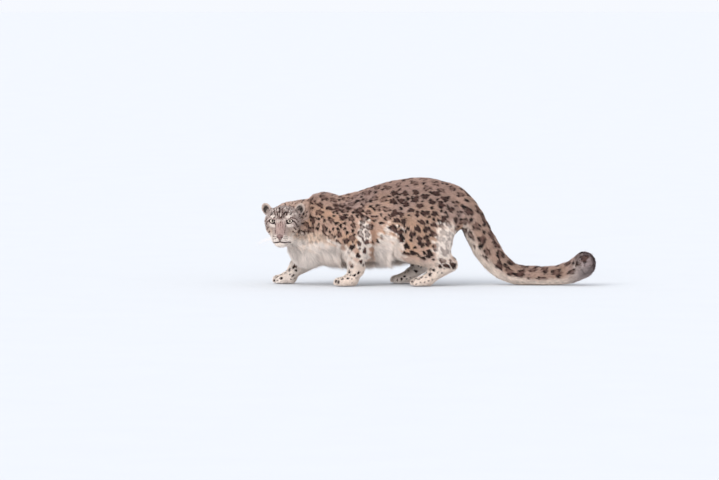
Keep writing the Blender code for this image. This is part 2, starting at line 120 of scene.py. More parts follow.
# The line down the middle of the tail, from rump to tip
TAIL_PATH = np.array([
    (0.067, 0.035, 0.436),
    (0.134, 0.035, 0.403),
    (0.187, 0.035, 0.336),
    (0.229, 0.035, 0.254),
    (0.272, 0.035, 0.171),
    (0.331, 0.032, 0.096),
    (0.406, 0.027, 0.052),
    (0.501, 0.021, 0.044),
    (0.591, 0.019, 0.045),
    (0.663, 0.015, 0.060),
    (0.717, -0.009, 0.088),
    (0.731, -0.051, 0.108),
])

# For each kind of node: the coat's depth, the spacing of its spots, half a spot's length, how hollow it is
COAT_PLAN = {
    "trunk": (0.0140, 0.0415, 0.0190, 1.00),
    "neck": (0.0165, 0.0270, 0.0110, 0.30),
    "head": (0.0120, 0.0180, 0.0058, 0.00),
    "jaw": (0.0060, 0.0900, 0.0010, 0.00),
    "ear": (0.0020, 0.0900, 0.0010, 0.00),
    "upper_arm": (0.0115, 0.0350, 0.0178, 0.65),
    "forearm": (0.0080, 0.0320, 0.0135, 0.15),
    "forepaw": (0.0050, 0.0205, 0.0072, 0.00),
    "thigh": (0.0125, 0.0325, 0.0180, 0.40),
    "shank": (0.0090, 0.0330, 0.0180, 0.15),
    "hind_foot": (0.0070, 0.0240, 0.0095, 0.00),
    "hind_paw": (0.0050, 0.0205, 0.0072, 0.00),
    "tail": (0.0165, 0.0420, 0.0235, 0.70),
}
BELLY_DEPTH = 0.034
CHEST_DEPTH = 0.030
FACE_DEPTH = 0.0042
MUZZLE_DEPTH = 0.0026
CHEEK_DEPTH = 0.017
CROWN_DEPTH = 0.009
LID_DEPTH = 0.0008

# The way the hair lies on each limb and on the body, before it is laid along the skin
LIE = {
    "trunk": (1.0, 0.0, -0.30),
    "neck": (0.85, 0.25, -0.50),
    "forearm_left": (0.0, 0.0, -1.0),
    "forearm_right": (-0.87, 0.0, -0.49),
    "forepaw": (-1.0, 0.0, -0.35),
    "shank": (0.90, 0.0, -0.45),
    "hind_foot": (-0.90, 0.0, -0.50),
    "hind_paw": (-1.0, 0.0, -0.35),
}

# The coat: how many tufts, in how many pieces, the coat's depth where short tufts give way to long ones,
# and the size of a tuft's patch on the map
LONG_TUFTS = 170000
SHORT_TUFTS = 72000
COAT_PIECES = 8
SHORT_TO_LONG = (0.009, 0.012)
PATCH = 0.003

# Where no hair stands: this near an eye, this far past the lids' edge, below this height on a sole, and
# this near the line of the lips
BARE_SOCKET, BARE_LIDS, BARE_LID_ANGLE = SOCKET_RADIUS + 0.0006, 0.024, math.radians(5)
BARE_SOLE = 0.007
BARE_LIPS = 0.0016

# A tuft's length and width, which grow with the coat's depth, and how far its root sinks into the skin
SHORTEST, LENGTH_PER_DEPTH = 0.002, 1.60
THINNEST, WIDTH_PER_DEPTH, WIDEST = 0.0007, 0.070, 0.0019
ROOT_SINK = 0.0012
LOWEST = 0.0004

# How tufts differ from one another: shares of their usual size, their turn in radians, tuft by tuft and
# from place to place, and how far their bend and their colour's place wander, as shares of their length
LENGTH_RANGE = (0.82, 1.15)
HEIGHT_RANGE, HEIGHT_SWELL = (0.90, 1.16), 0.10
WIDTH_RANGE = (0.75, 1.25)
PROUD_SHARE, PROUD_HEIGHT = 0.03, 1.18
SWING, SWAY = 0.16, 0.20
WAVE = 0.05
STRAY = 0.035
COLOUR_AT = 0.78

# A tuft's bend: it rises early, runs out late and dips at its tip, so that it reaches less far than its
# length allows, and the deepest hair of the belly droops
RISE_POWER, RUN_POWER, TIP_DIP = 2.2, 1.2, 0.10
BENT_REACH, LEAST_REACH = 0.93, 0.4
DROOP, DROOP_RANGE, DROOP_DEPTH = 0.30, (0.4, 1.5), (0.024, 0.034)

# Neighbouring tips are drawn to a leader's tip: how many tufts to a leader, its reach and its pull
TUFTS_PER_LEADER = 8
PULL_REACH = 0.6
PULL_RANGE = (0.15, 0.50)

# A tuft's corners are its root, its left, right and ridge where it is widest, and its tip. The ridge's
# height is a share of the width; softness and lift turn its shading to the sides and to the sky
WIDEST_AT = 0.42
RIDGE = 0.42
UNDERSIDES = ((0, 1, 2), (1, 4, 2))
TUFT_FACES = ((0, 2, 3), (0, 3, 1), (2, 4, 3), (3, 4, 1)) + UNDERSIDES
SOFTNESS = 0.80
LIFT = 0.40

# The unwrap of the skin, in rows from the bottom: each row's share of the height, and its nodes
MAP_ROWS = (
    (0.36, ("trunk",)),
    (0.17, ("thigh_left", "thigh_right", "upper_arm_left", "upper_arm_right")),
    (0.17, ("head", "neck", "jaw", "ear_left", "ear_right")),
    (0.10, ("shank_left", "shank_right", "forearm_left", "forearm_right")),
    (0.12, ("tail_1", "tail_2", "tail_3", "tail_4", "tail_5")),
    (0.08, ("forepaw_left", "forepaw_right", "hind_foot_left", "hind_foot_right",
            "hind_paw_left", "hind_paw_right")),
)

# How the spots are laid out: places tried, the share tried as large ones, a small one's size, how far a
# spot turns from the lie of the hair, and how many spots near a point can darken it
SPOT_TRIES = 14000
LARGE_SHARE = 0.5
SMALL_SPOT = 0.50
SPOT_TURN = 0.5
SPOTS_NEAR = 4

# Where a spot's edge, a ring's inner edge and the gaps in a ring fade out, as shares of its size, and how
# far through the body a spot reaches
SPOT_EDGE = (1.10, 0.90)
RING_INNER = (0.72, 0.46)
RING_GAPS = (0.15, 0.70)
SPOT_THROUGH = (0.045, 0.025)

# Patches of colour on the body seen from the side: x, z, half-length, half-height and strength
CHEST_PATCH = (-0.500, 0.125, 0.165, 0.080, 1.00)
FLANK_PATCH = (-0.178, 0.130, 0.066, 0.150, 0.90)
ELBOW_PATCH = (-0.302, 0.205, 0.032, 0.115, 0.95)
THIGH_PATCH = (0.080, 0.200, 0.058, 0.105, 0.95)
THROAT_PATCH = (-0.620, 0.190, 0.060, 0.060, 0.85)
PALE_PATCHES = (CHEST_PATCH, FLANK_PATCH, ELBOW_PATCH, THIGH_PATCH, THROAT_PATCH)
BROWN_PATCH = (-0.262, 0.215, 0.022, 0.100, 0.75)
CREAM_PATCH = (-0.545, 0.205, 0.110, 0.050, 0.95)

# Lines on one half of the face, mirrored on the other: their points as |x| and z, half-width, darkness
FACE_LINES = (
    (((0.0275, 0.0190), (0.0245, 0.0040), (0.0225, -0.0290)), 0.0017, 0.75),
    (((0.0560, 0.0260), (0.0660, 0.0200), (0.0730, 0.0080), (0.0790, -0.0040)), 0.0025, 0.80),
    (((0.0500, 0.0410), (0.0680, 0.0360), (0.0800, 0.0200)), 0.0018, 0.65),
    (((0.0000, 0.0460), (0.0000, -0.0120)), 0.0014, 0.50),
    (((0.0105, 0.0440), (0.0100, -0.0040)), 0.0013, 0.42),
    (((0.0060, 0.0400), (0.0070, 0.0560)), 0.0024, 0.75),
    (((0.0150, 0.0480), (0.0190, 0.0700)), 0.0026, 0.80),
    (((0.0060, 0.0640), (0.0080, 0.0850)), 0.0030, 0.80),
    (((0.0270, 0.0560), (0.0330, 0.0740)), 0.0024, 0.75),
    (((0.0430, 0.0560), (0.0490, 0.0700)), 0.0022, 0.70),
    (((0.0560, 0.0440), (0.0630, 0.0500)), 0.0022, 0.60),
    (((0.0640, -0.0060), (0.0700, -0.0150)), 0.0032, 0.75),
    (((0.0560, -0.0240), (0.0620, -0.0300)), 0.0032, 0.70),
    (((0.0740, -0.0300), (0.0780, -0.0380)), 0.0036, 0.75),
    (((0.0700, -0.0470), (0.0750, -0.0510)), 0.0034, 0.80),
    (((0.0580, -0.0620), (0.0620, -0.0650)), 0.0030, 0.70),
    (((0.0850, -0.0220), (0.0900, -0.0290)), 0.0036, 0.75),
    (((0.0350, -0.0740), (0.0400, -0.0785)), 0.0030, 0.85),
    (((0.0200, -0.0480), (0.0350, -0.0440)), 0.0013, 0.90),
    (((0.0190, -0.0550), (0.0360, -0.0530)), 0.0013, 0.90),
    (((0.0210, -0.0625), (0.0350, -0.0620)), 0.0012, 0.85),
)

# Pale patches of the face: |x|, z, half-width, half-height and strength
FACE_PATCHES = (
    (0.0370, 0.0465, 0.0135, 0.0070, 0.85),
    (0.0400, 0.0035, 0.0170, 0.0080, 0.80),
    (0.0230, -0.0580, 0.0240, 0.0190, 1.00),
    (0.0000, -0.0860, 0.0400, 0.0200, 1.00),
    (0.0600, -0.0560, 0.0300, 0.0240, 0.75),
    (0.0120, 0.0280, 0.0060, 0.0120, 0.35),
)

# The line of painted shade in the fold behind the near shoulder blade, as x and z
CREASE_SHADE_LINE = ((-0.440, 0.380), (-0.395, 0.373), (-0.345, 0.356), (-0.312, 0.334))

# The eyes look along this line. The nose pad's cells, its bare part, its groove and wings, its nostrils
# and the slits beside them, each placed by |x| and z. The whiskers
EYE_TURN = (0.0, -1.0, 0.05)
NOSE_CELL = 0.0007
NOSE_BARE = (0.0165, 0.018, 0.0125)
NOSE_GROOVE, WING_RISE = 0.0011, 0.0006
WING_AT, WING_RADIUS = (0.0105, -0.0475), 0.0048
NOSTRIL_AT, NOSTRIL_SIZE, NOSTRIL_DEPTH = (0.0086, -0.0492), (0.0050, 0.0033), 0.0032
SLIT_AT, SLIT_SIZE = (0.0128, -0.0520), (0.0030, 0.0011)
WHISKER_ROWS = (  # height on the pad, how many, the nearest and furthest |x|, and their length
    (-0.0480, 4, 0.020, 0.036, 0.085),
    (-0.0540, 5, 0.019, 0.038, 0.100),
    (-0.0600, 4, 0.020, 0.037, 0.090),
)
BROW_WHISKERS = ((0.032, 0.052), (0.037, 0.054), (0.042, 0.054))
WHISKER_THICKNESS = 0.0007
WHISKER_SIDES = 6
WHISKER_POINTS = 12

# The camera: a pixel's size at the animal, the picture's width, the point it looks at, its height and lens
PIXEL = 0.0047
PHOTO_WIDTH = 719
VIEW_CENTRE = Vector((-0.3248, 0.0346, 0.2115))
VIEW_ELEVATION = math.radians(3.0)
LENS = 300.0
SENSOR = 36.0
FLOOR_RADIUS = 90.0

# The stage: a pale floor, a soft sky, and lamps with their power, width and turn in degrees
FLOOR_COLOUR = (0.725, 0.742, 0.768, 1.0)
SKY_COLOUR = (0.925, 0.950, 1.0, 1.0)
LAMP_COLOUR = (1.0, 0.985, 0.965)
LAMPS = (
    ("key", 1.25, 40, (52, 0, -38)),
    ("fill", 0.35, 60, (70, 0, 40)),
    ("bounce", 0.85, 80, (84, 0, -12)),
)


def tint(red, green, blue):
    """A screen colour, from 0 to 255, as linear light."""
    return np.array([((c / 255 + 0.055) / 1.055) ** 2.4 for c in (red, green, blue)])


BUFF = tint(214, 178, 158)
GOLD = tint(224, 180, 146)
MAUVE = tint(196, 170, 164)
BACK = tint(178, 147, 135)
DUSK = tint(176, 146, 130)
PALE = tint(252, 234, 220)
WHITE = tint(255, 242, 232)
GREY = tint(190, 170, 162)
CREAM = tint(248, 222, 200)
BRIDGE = tint(196, 168, 160)
EAR_RIM = tint(222, 202, 190)
UMBER = tint(176, 134, 110)
TAIL_TIP = tint(178, 162, 163)
MARK_DARK = tint(34, 24, 23)
MARK_FILL = tint(108, 76, 68)


def fade(low, high, value):
    """0 at the low value and 1 at the high one, smooth between them. The low one may be the larger."""
    t = np.clip((value - low) / (high - low), 0.0, 1.0)
    return t * t * (3.0 - 2.0 * t)


def blend(first, second, share):
    return first + (second - first) * np.asarray(share)[..., None]


def unit(vectors):
    return vectors / np.maximum(np.linalg.norm(vectors, axis=-1, keepdims=True), 1e-9)


def turned(along, aside, angle):
    """Directions turned from one towards another by an angle."""
    return unit(along * np.cos(angle)[:, None] + aside * np.sin(angle)[:, None])


def laid_flat(ways, normals):
    """Directions laid along the skin."""
    return unit(ways - normals * np.sum(ways * normals, axis=1)[:, None])


def ripple(points, size, seed):
    """Smooth noise, mostly from -1 to 1, with bumps about that size across."""
    waves = 7
    rng = np.random.default_rng(seed)
    total = np.zeros(len(points))
    for _ in range(waves):
        way = unit(rng.normal(size=3)) * 2 * math.pi / size * rng.uniform(0.6, 1.5)
        total += np.sin(points @ way + rng.uniform(0, 2 * math.pi))
    return total / math.sqrt(waves)


def middle(node):
    low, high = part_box(node)
    return np.array((low + high) / 2)


def head_axes():
    """The head's centre and its axes as rows, found from the two eyes."""
    across = unit(middle("eye_left") - middle("eye_right"))
    up = np.array((0.0, 0.0, 1.0))
    axes = np.stack((across, np.cross(up, across), up))
    between = EYE_IN_HEAD * (0, 1, 1)
    return (middle("eye_left") + middle("eye_right")) / 2 - between @ axes, axes


HEAD_CENTRE, HEAD_AXES = head_axes()


def in_head(points):
    return (points - HEAD_CENTRE) @ HEAD_AXES.T


def from_head(points):
    return np.asarray(points) @ HEAD_AXES + HEAD_CENTRE


# Mesh helpers


def new_object(name, mesh):
    thing = bpy.data.objects.new(name, mesh)
    bpy.context.scene.collection.objects.link(thing)
    return thing


def object_from(shape, name):
    """A new object made from a finished bmesh."""
    mesh = bpy.data.meshes.new(name)
    shape.to_mesh(mesh)
    shape.free()
    return new_object(name, mesh)


def turned_object(shape, name, pole, place):
    """A new object made from a bmesh, with its z axis along the pole and its centre at the place."""
    turn = Vector(pole).to_track_quat("Z", "Y").to_matrix().to_4x4()
    bmesh.ops.transform(shape, matrix=turn, verts=shape.verts)
    bmesh.ops.translate(shape, vec=Vector(place), verts=shape.verts)
    return object_from(shape, name)


def read(items, field, width=3, kind=np.float32):
    """One field of all the corners, edges or faces of a mesh, as rows of numbers."""
    values = np.empty(len(items) * width, kind)
    items.foreach_get(field, values)
    return values.reshape(-1, width)


def corners_of(mesh):
    return read(mesh.vertices, "co").astype(float)


def move_corners(mesh, points):
    mesh.vertices.foreach_set("co", points.astype(np.float32).ravel())
    mesh.update()


def normals_of(mesh):
    return read(mesh.vertex_normals, "vector").astype(float)


def edges_of(mesh):
    return read(mesh.edges, "vertices", 2, np.int32)


def smoothed(values, edges, rounds, share=0.5):
    """The values with each drawn towards the mean of its neighbours."""
    count = np.maximum(np.bincount(edges.ravel(), minlength=len(values)), 1)
    columns = values.reshape(len(values), -1).copy()
    for _ in range(rounds):
        for i in range(columns.shape[1]):
            column = columns[:, i]
            total = np.bincount(edges[:, 0], column[edges[:, 1]], len(values))
            total += np.bincount(edges[:, 1], column[edges[:, 0]], len(values))
            columns[:, i] = column + (total / count - column) * share
    return columns.reshape(values.shape)


def without_facets(points, edges, rounds):
    """The points smoothed with no shrinking, by steps forward and back."""
    for _ in range(rounds):
        points = smoothed(points, edges, 1, 0.62)
        points = smoothed(points, edges, 1, -0.60)
    return points


def modify(thing, kind, **settings):
    """Puts the result of one modifier in place of the object's mesh."""
    step = thing.modifiers.new(kind.title(), kind)
    for key, value in settings.items():
        setattr(step, key, value)
    graph = bpy.context.evaluated_depsgraph_get()
    result = bpy.data.meshes.new_from_object(thing.evaluated_get(graph))
    old = thing.data
    thing.modifiers.clear()
    thing.data = result
    bpy.data.meshes.remove(old)


def combine(thing, operation, other):
    """A boolean of two closed meshes, which uses the second up."""
    modify(thing, "BOOLEAN", operation=operation, object=other, solver="MANIFOLD")
    bpy.data.objects.remove(other)


def ball(name, centre, radius, segments=48, rings=32, pole=(0, 0, 1)):
    """A dense sphere with its poles on the given line."""
    shape = bmesh.new()
    bmesh.ops.create_uvsphere(shape, u_segments=segments, v_segments=rings, radius=radius)
    return turned_object(shape, name, pole, centre)


def flesh(name, swells):
    """One object of copies of these nodes, each swollen so that neighbours overlap."""
    whole = bmesh.new()
    for node, swell in swells.items():
        part = bmesh.new()
        part.from_mesh(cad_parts[node].data)
        bmesh.ops.remove_doubles(part, verts=part.verts, dist=WELD)
        part.normal_update()
        moves = [vert.normal * swell for vert in part.verts]
        for vert, move in zip(part.verts, moves):
            vert.co += move
        loose = bpy.data.meshes.new("loose")
        part.to_mesh(loose)
        part.free()
        whole.from_mesh(loose)
        bpy.data.meshes.remove(loose)
    return object_from(whole, name)


# Where each point of the skin lies: its node, its depth of coat and the lie of its hair


def node_tree():
    """A search tree over the nodes of flesh, with the node that owns each of its faces."""
    corners, faces, owners = [], [], []
    for number, node in enumerate(FLESH):
        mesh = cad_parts[node].data
        start = len(corners)
        corners += [vert.co.copy() for vert in mesh.vertices]
        faces += [[start + i for i in face.vertices] for face in mesh.polygons]
        owners += [number] * len(mesh.polygons)
    return BVHTree.FromPolygons(corners, faces), np.array(owners)


NODE_TREE, FACE_OWNERS = node_tree()


def owners_of(points):
    """The number of the node of flesh that lies nearest to each point."""
    nearest = [NODE_TREE.find_nearest(Vector(point))[2] for point in points]
    return FACE_OWNERS[np.array(nearest)]


def by_node(table, owners, default=None):
    """The table's value for each point's node, where a key may be the start of a node's name."""
    rows = [next((table[key] for key in table if node.startswith(key)), default) for node in FLESH]
    return np.array(rows, float)[owners]


def is_node(owners, start):
    """Whether each point's node has a name with this start, or one of these starts."""
    return np.array([node.startswith(start) for node in FLESH])[owners]


def folded(local):
    """Points in the head's frame with its right half mirrored onto its left."""
    return np.column_stack((np.abs(local[:, 0]), local[:, 1:]))


def head_depth(local):
    """The coat's depth on the head: thin on the face, thick on the cheeks and nape."""
    x, y, z = folded(local).T
    depth = FACE_DEPTH + (COAT_PLAN["head"][0] - FACE_DEPTH) * fade(-0.045, 0.020, y)
    cheek = fade(0.045, 0.078, x) * fade(0.030, -0.015, z) * fade(-0.060, -0.020, y)
    depth += (CHEEK_DEPTH - depth) * cheek
    crown = fade(0.045, 0.070, z) * fade(0.040, 0.0, y)
    depth += (np.minimum(depth, CROWN_DEPTH) - depth) * crown
    depth += (MUZZLE_DEPTH - depth) * fade(-0.066, -0.090, y)
    lids = fade(0.034, 0.022, np.linalg.norm(folded(local) - EYE_IN_HEAD, axis=1))
    return depth + (LID_DEPTH - depth) * lids


def coat_depth(points, normals, owners):
    """How deep the coat is at each point: deepest under the belly and chest."""
    depth = by_node(COAT_PLAN, owners)[:, 0]
    trunk = is_node(owners, "trunk")
    under = fade(0.10, -0.55, normals[:, 2]) * fade(0.26, 0.16, points[:, 2])
    chest = fade(-0.42, -0.52, points[:, 0])
    deep = BELLY_DEPTH + (CHEST_DEPTH - BELLY_DEPTH) * chest
    depth = np.where(trunk, depth + (deep - depth) * under, depth)
    local = in_head(points)
    return np.where(is_node(owners, HEAD_AND_JAW), head_depth(local), depth)


def tree_of(places, numbers):
    """A search tree over places, each known by its number."""
    tree = KDTree(len(numbers))
    for place, number in zip(places, numbers):
        tree.insert(place, number)
    tree.balance()
    return tree


def nearest_run(points, line):
    """How far points lie from a line of straight runs, and the nearest run's direction."""
    best = np.full(len(points), np.inf)
    way = np.zeros_like(points)
    for start, end in zip(line[:-1], line[1:]):
        run = end - start
        share = np.clip((points - start) @ run / (run @ run), 0, 1)
        gap = np.linalg.norm(points - start - share[:, None] * run, axis=1)
        closer = gap < best
        best[closer] = gap[closer]
        way[closer] = run / np.linalg.norm(run)
    return best, way


def line_distance(points, line):
    return nearest_run(points, np.array(line))[0]


def lie_of_hair(points, normals, owners):
    """The direction in which the hair lies, along the skin."""
    way = by_node(LIE, owners, (1.0, 0.0, 0.0))
    trunk = is_node(owners, "trunk")
    x, z = points[:, 0], points[:, 2]
    drop = 0.12 + 0.75 * fade(0.42, 0.14, z)
    chest = fade(-0.50, -0.60, x)
    body = np.stack((1.0 - 0.7 * chest, np.zeros(len(x)), -drop - 0.6 * chest), axis=1)
    way = np.where(trunk[:, None], body, way)
    for limb, fall in (("upper_arm", 0.40), ("thigh", 0.45)):
        backward = fade(0.27, 0.38, z)
        down = np.stack((fall + (1 - fall) * backward, np.zeros(len(x)), -1 + 0.75 * backward), axis=1)
        way = np.where(is_node(owners, limb)[:, None], down, way)
    way = np.where(is_node(owners, "tail")[:, None], nearest_run(points, TAIL_PATH)[1], way)
    local = in_head(points)
    away = unit(local - NOSE_IN_HEAD)
    away[:, 1] += 0.9 * fade(0.02, 0.07, local[:, 1])
    away[:, 2] -= 0.5 * fade(0.02, -0.05, local[:, 2]) * fade(-0.06, -0.01, local[:, 1])
    way = np.where(is_node(owners, HEAD_AND_JAW)[:, None], away @ HEAD_AXES, way)
    side = np.sign(local[:, 0])
    up_ear = np.stack((0.45 * side, np.full(len(side), 0.1), np.ones(len(side))), axis=1)
    way = np.where(is_node(owners, "ear")[:, None], up_ear @ HEAD_AXES, way)
    return laid_flat(way, normals)


# The skin


def set_in(thing, rounds, extra=None):
    """Smooths a closed mesh and moves it in by the depth of the coat."""
    faceting_rounds, depth_rounds = rounds
    mesh = thing.data
    edges = edges_of(mesh)
    points = without_facets(corners_of(mesh), edges, faceting_rounds)
    move_corners(mesh, points)
    normals = unit(smoothed(normals_of(mesh), edges, 3))
    depth = smoothed(coat_depth(points, normals, owners_of(points)), edges, depth_rounds)
    if extra is not None:
        depth = depth + extra(points)
    move_corners(mesh, points - normals * (depth + SWELL)[:, None])


def nape_distance(points):
    """How far points lie in front of the cut behind the head."""
    return (in_head(points) - NAPE_POINT) @ NAPE_WAY


def lid_margin(angle):
    """How far from the middle of its opening the edge of the lids lies, as an angle."""
    across = np.abs(np.cos(angle)) / LID_WIDTH_ANGLE
    upward = np.abs(np.sin(angle)) / np.where(np.sin(angle) > 0, UPPER_LID_ANGLE, LOWER_LID_ANGLE)
    margin = (across ** LID_ROUNDNESS + upward ** LID_ROUNDNESS) ** (-1 / LID_ROUNDNESS)
    inner_corner = np.clip(-np.cos(angle), 0, 1) ** 10
    return margin * (1 + 0.20 * inner_corner)


def eye_frame(side):
    """An eye's centre, and its opening's forward, outward and upward directions."""
    centre = from_head(EYE_IN_HEAD * (side, 1, 1))
    forward = unit(np.array((side * LID_OUTWARD, -1.0, 0.02))) @ HEAD_AXES
    level = unit(np.array((side, LID_OUTWARD, 0.0))) @ HEAD_AXES
    raised = np.cross(forward, level) * side
    outward = level * math.cos(LID_SLANT) + raised * math.sin(LID_SLANT)
    upward = raised * math.cos(LID_SLANT) - level * math.sin(LID_SLANT)
    return centre, forward, outward, upward


def past_lids(points, side):
    """How far points lie from an eye, how far past its lids' edge as an angle, and where round it."""
    centre, forward, outward, upward = eye_frame(side)
    gap = points - centre
    way = unit(gap)
    out = np.arccos(np.clip(way @ forward, -1, 1))
    angle = np.arctan2(way @ upward, way @ outward)
    return np.linalg.norm(gap, axis=1), out - lid_margin(angle), angle


def lid_ring(side):
    """Both lids of one eye, as a closed ring that follows the eyeball and sinks into the face."""
    centre, forward, outward, upward = eye_frame(side)
    shape = bmesh.new()
    rings = []
    for i in range(LID_STEPS):
        angle = 2 * math.pi * i / LID_STEPS
        margin = float(lid_margin(np.array(angle)))
        ring = []
        for more, radius in LID_PROFILE:
            out = margin + math.radians(more)
            aside = outward * math.cos(angle) + upward * math.sin(angle)
            way = forward * math.cos(out) + aside * math.sin(out)
            ring.append(shape.verts.new(centre + way * radius * 0.001))
        rings.append(ring)
    for here, after in zip(rings, rings[1:] + rings[:1]):
        for j in range(len(LID_PROFILE)):
            k = (j + 1) % len(LID_PROFILE)
            shape.faces.new((here[j], after[j], after[k], here[k]))
    bmesh.ops.recalc_face_normals(shape, faces=shape.faces)
    return object_from(shape, "lids")


def mouth_distance(local):
    """How far points of the face lie from the line of the lips and the groove above it."""
    flat = folded(local)[:, [0, 2]]
    gap = np.minimum(line_distance(flat, MOUTH_LINE), line_distance(flat, LIP_GROOVE))
    return np.where(local[:, 1] < MOUTH_FRONT, gap, np.inf)


def sculpt_face(thing):
    """Presses the mouth line into the face, between slightly raised lips."""
    mesh = thing.data
    points, normals = corners_of(mesh), normals_of(mesh)
    local = in_head(points)
    groove = fade(GROOVE_WIDTH, 0.0, mouth_distance(local)) * GROOVE_DEPTH
    lips = fade(0.009, 0.004, mouth_distance(local)) * LIP_RISE
    move_corners(mesh, points - normals * (groove - lips)[:, None])


def slab_beyond(point, way):
    """A large block that holds everything beyond a point, in the head's frame."""
    way = unit(np.array(way)) @ HEAD_AXES
    shape = bmesh.new()
    bmesh.ops.create_cube(shape, size=2.0)
    return turned_object(shape, "slab", way, from_head(point) + way)


def build_head_skin():
    """The finer skin of the head, ears and nape. It is cut back once more after it is set in."""
    swells = {node: SWELL for node in HEAD_NODES + ("neck", "trunk", "upper_arm_left")}
    swells.update(nose=-0.0010, eye_left=SWELL, eye_right=SWELL)
    head = flesh("head_skin", swells)
    modify(head, "REMESH", mode="VOXEL", voxel_size=HEAD_CELL)
    combine(head, "DIFFERENCE", slab_beyond(NAPE_POINT - NAPE_WAY * NAPE_FIRST_CUT, -NAPE_WAY))
    combine(head, "DIFFERENCE", slab_beyond((HEAD_FIRST_SIDE, 0, 0), (1, 0, 0)))
    set_in(head, HEAD_ROUNDS)
    sculpt_face(head)
    combine(head, "DIFFERENCE", slab_beyond(NAPE_POINT - NAPE_WAY * NAPE_OVERLAP, -NAPE_WAY))
    combine(head, "DIFFERENCE", slab_beyond((HEAD_SIDE, 0, 0), (1, 0, 0)))
    return head


def nape_tuck(points):
    """How much deeper the body's skin lies where the head's skin covers it."""
    return NAPE_TUCK * fade(-0.08, -0.03, nape_distance(points))


def toe_clefts(points):
    """How strongly each point lies in one of the three clefts between a paw's toes."""
    depth = np.zeros(len(points))
    for node in PAWS:
        low, high = (np.array(corner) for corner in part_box(node))
        inside = np.all((points > low - SWELL) & (points < high + SWELL), axis=1)
        across = (points[:, 1] - (low[1] + high[1]) / 2) / (high[1] - low[1])
        front = fade(TOE_LENGTH, TOE_LENGTH * 0.55, points[:, 0] - low[0])
        for place in CLEFTS:
            gap = np.abs(across - place) * (high[1] - low[1])
            depth = np.maximum(depth, inside * front * fade(CLEFT_WIDTH, 0.0, gap))
    return depth


def refine_paws(mesh):
    """Halves the cells of the paws and presses the clefts between the toes into them."""
    shape = bmesh.new()
    shape.from_mesh(mesh)
    boxes = [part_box(node) for node in PAWS]

    def on_toes(place):
        return any(low[0] < place.x < low[0] + TOE_LENGTH and low[1] < place.y < high[1] and
                   place.z < high[2] for low, high in boxes)

    fine = [edge for edge in shape.edges if on_toes((edge.verts[0].co + edge.verts[1].co) / 2)]
    bmesh.ops.subdivide_edges(shape, edges=fine, cuts=1, use_grid_fill=True)
    bmesh.ops.triangulate(shape, faces=[face for face in shape.faces if len(face.verts) > 4])
    shape.to_mesh(mesh)
    shape.free()
    points, normals = corners_of(mesh), normals_of(mesh)
    rise = fade(0.006, 0.014, points[:, 2])
    move_corners(mesh, points - normals * (toe_clefts(points) * rise * CLEFT_DEPTH)[:, None])


def build_skin():
    """The one skin of the whole animal."""
    head = build_head_skin()
    skin = flesh("skin", {node: SWELL for node in BODY_NODES})
    modify(skin, "REMESH", mode="VOXEL", voxel_size=BODY_CELL)
    set_in(skin, BODY_ROUNDS, nape_tuck)
    modify(skin, "REMESH", mode="VOXEL", voxel_size=BODY_CELL)
    mesh = skin.data
    move_corners(mesh, smoothed(corners_of(mesh), edges_of(mesh), 3))
    refine_paws(mesh)
    combine(skin, "UNION", head)
    for side in (-1, 1):
        combine(skin, "DIFFERENCE", ball("socket", eye_frame(side)[0], SOCKET_RADIUS))
    for side in (-1, 1):
        combine(skin, "UNION", lid_ring(side))
    modify(skin, "TRIANGULATE")
    return skin


# Markings


def spot_centres(points, normals, owners, flow):
    """Seeded places for the spots: large ones first, then small ones in the gaps between them."""
    rng = np.random.default_rng(11)
    spacing, half, hollow = by_node(COAT_PLAN, owners)[:, 1:].T
    tries = rng.choice(len(points), SPOT_TRIES, replace=False)
    chosen, sizes, places = [], [], np.zeros((0, 3))
    for number, i in enumerate(tries):
        size = 1.0 if number < SPOT_TRIES * LARGE_SHARE else SMALL_SPOT
        room = spacing[i] * rng.uniform(0.84, 1.08) * (size + np.array(sizes)) / 2
        if len(places) and np.any(np.sum((places - points[i]) ** 2, axis=1) < room ** 2):
            continue
        chosen.append(i)
        sizes.append(size)
        places = points[chosen]
    chosen, sizes = np.array(chosen), np.array(sizes)
    count = len(chosen)
    along = flow[chosen]
    turn = rng.normal(0, SPOT_TURN, count)
    return {
        "place": points[chosen],
        "up": normals[chosen],
        "along": turned(along, np.cross(normals[chosen], along), turn),
        "half": half[chosen] * sizes * rng.uniform(0.80, 1.12, count),
        "slim": rng.uniform(0.66, 0.98, count),
        "hollow": np.clip(hollow[chosen] * rng.uniform(0.75, 1.1, count) * (sizes == 1.0), 0, 1),
        "phase": rng.uniform(0, 2 * math.pi, (count, 4)),
        "breaks": rng.integers(2, 5, count),
        "strength": rng.uniform(0.90, 1.08, count),
    }


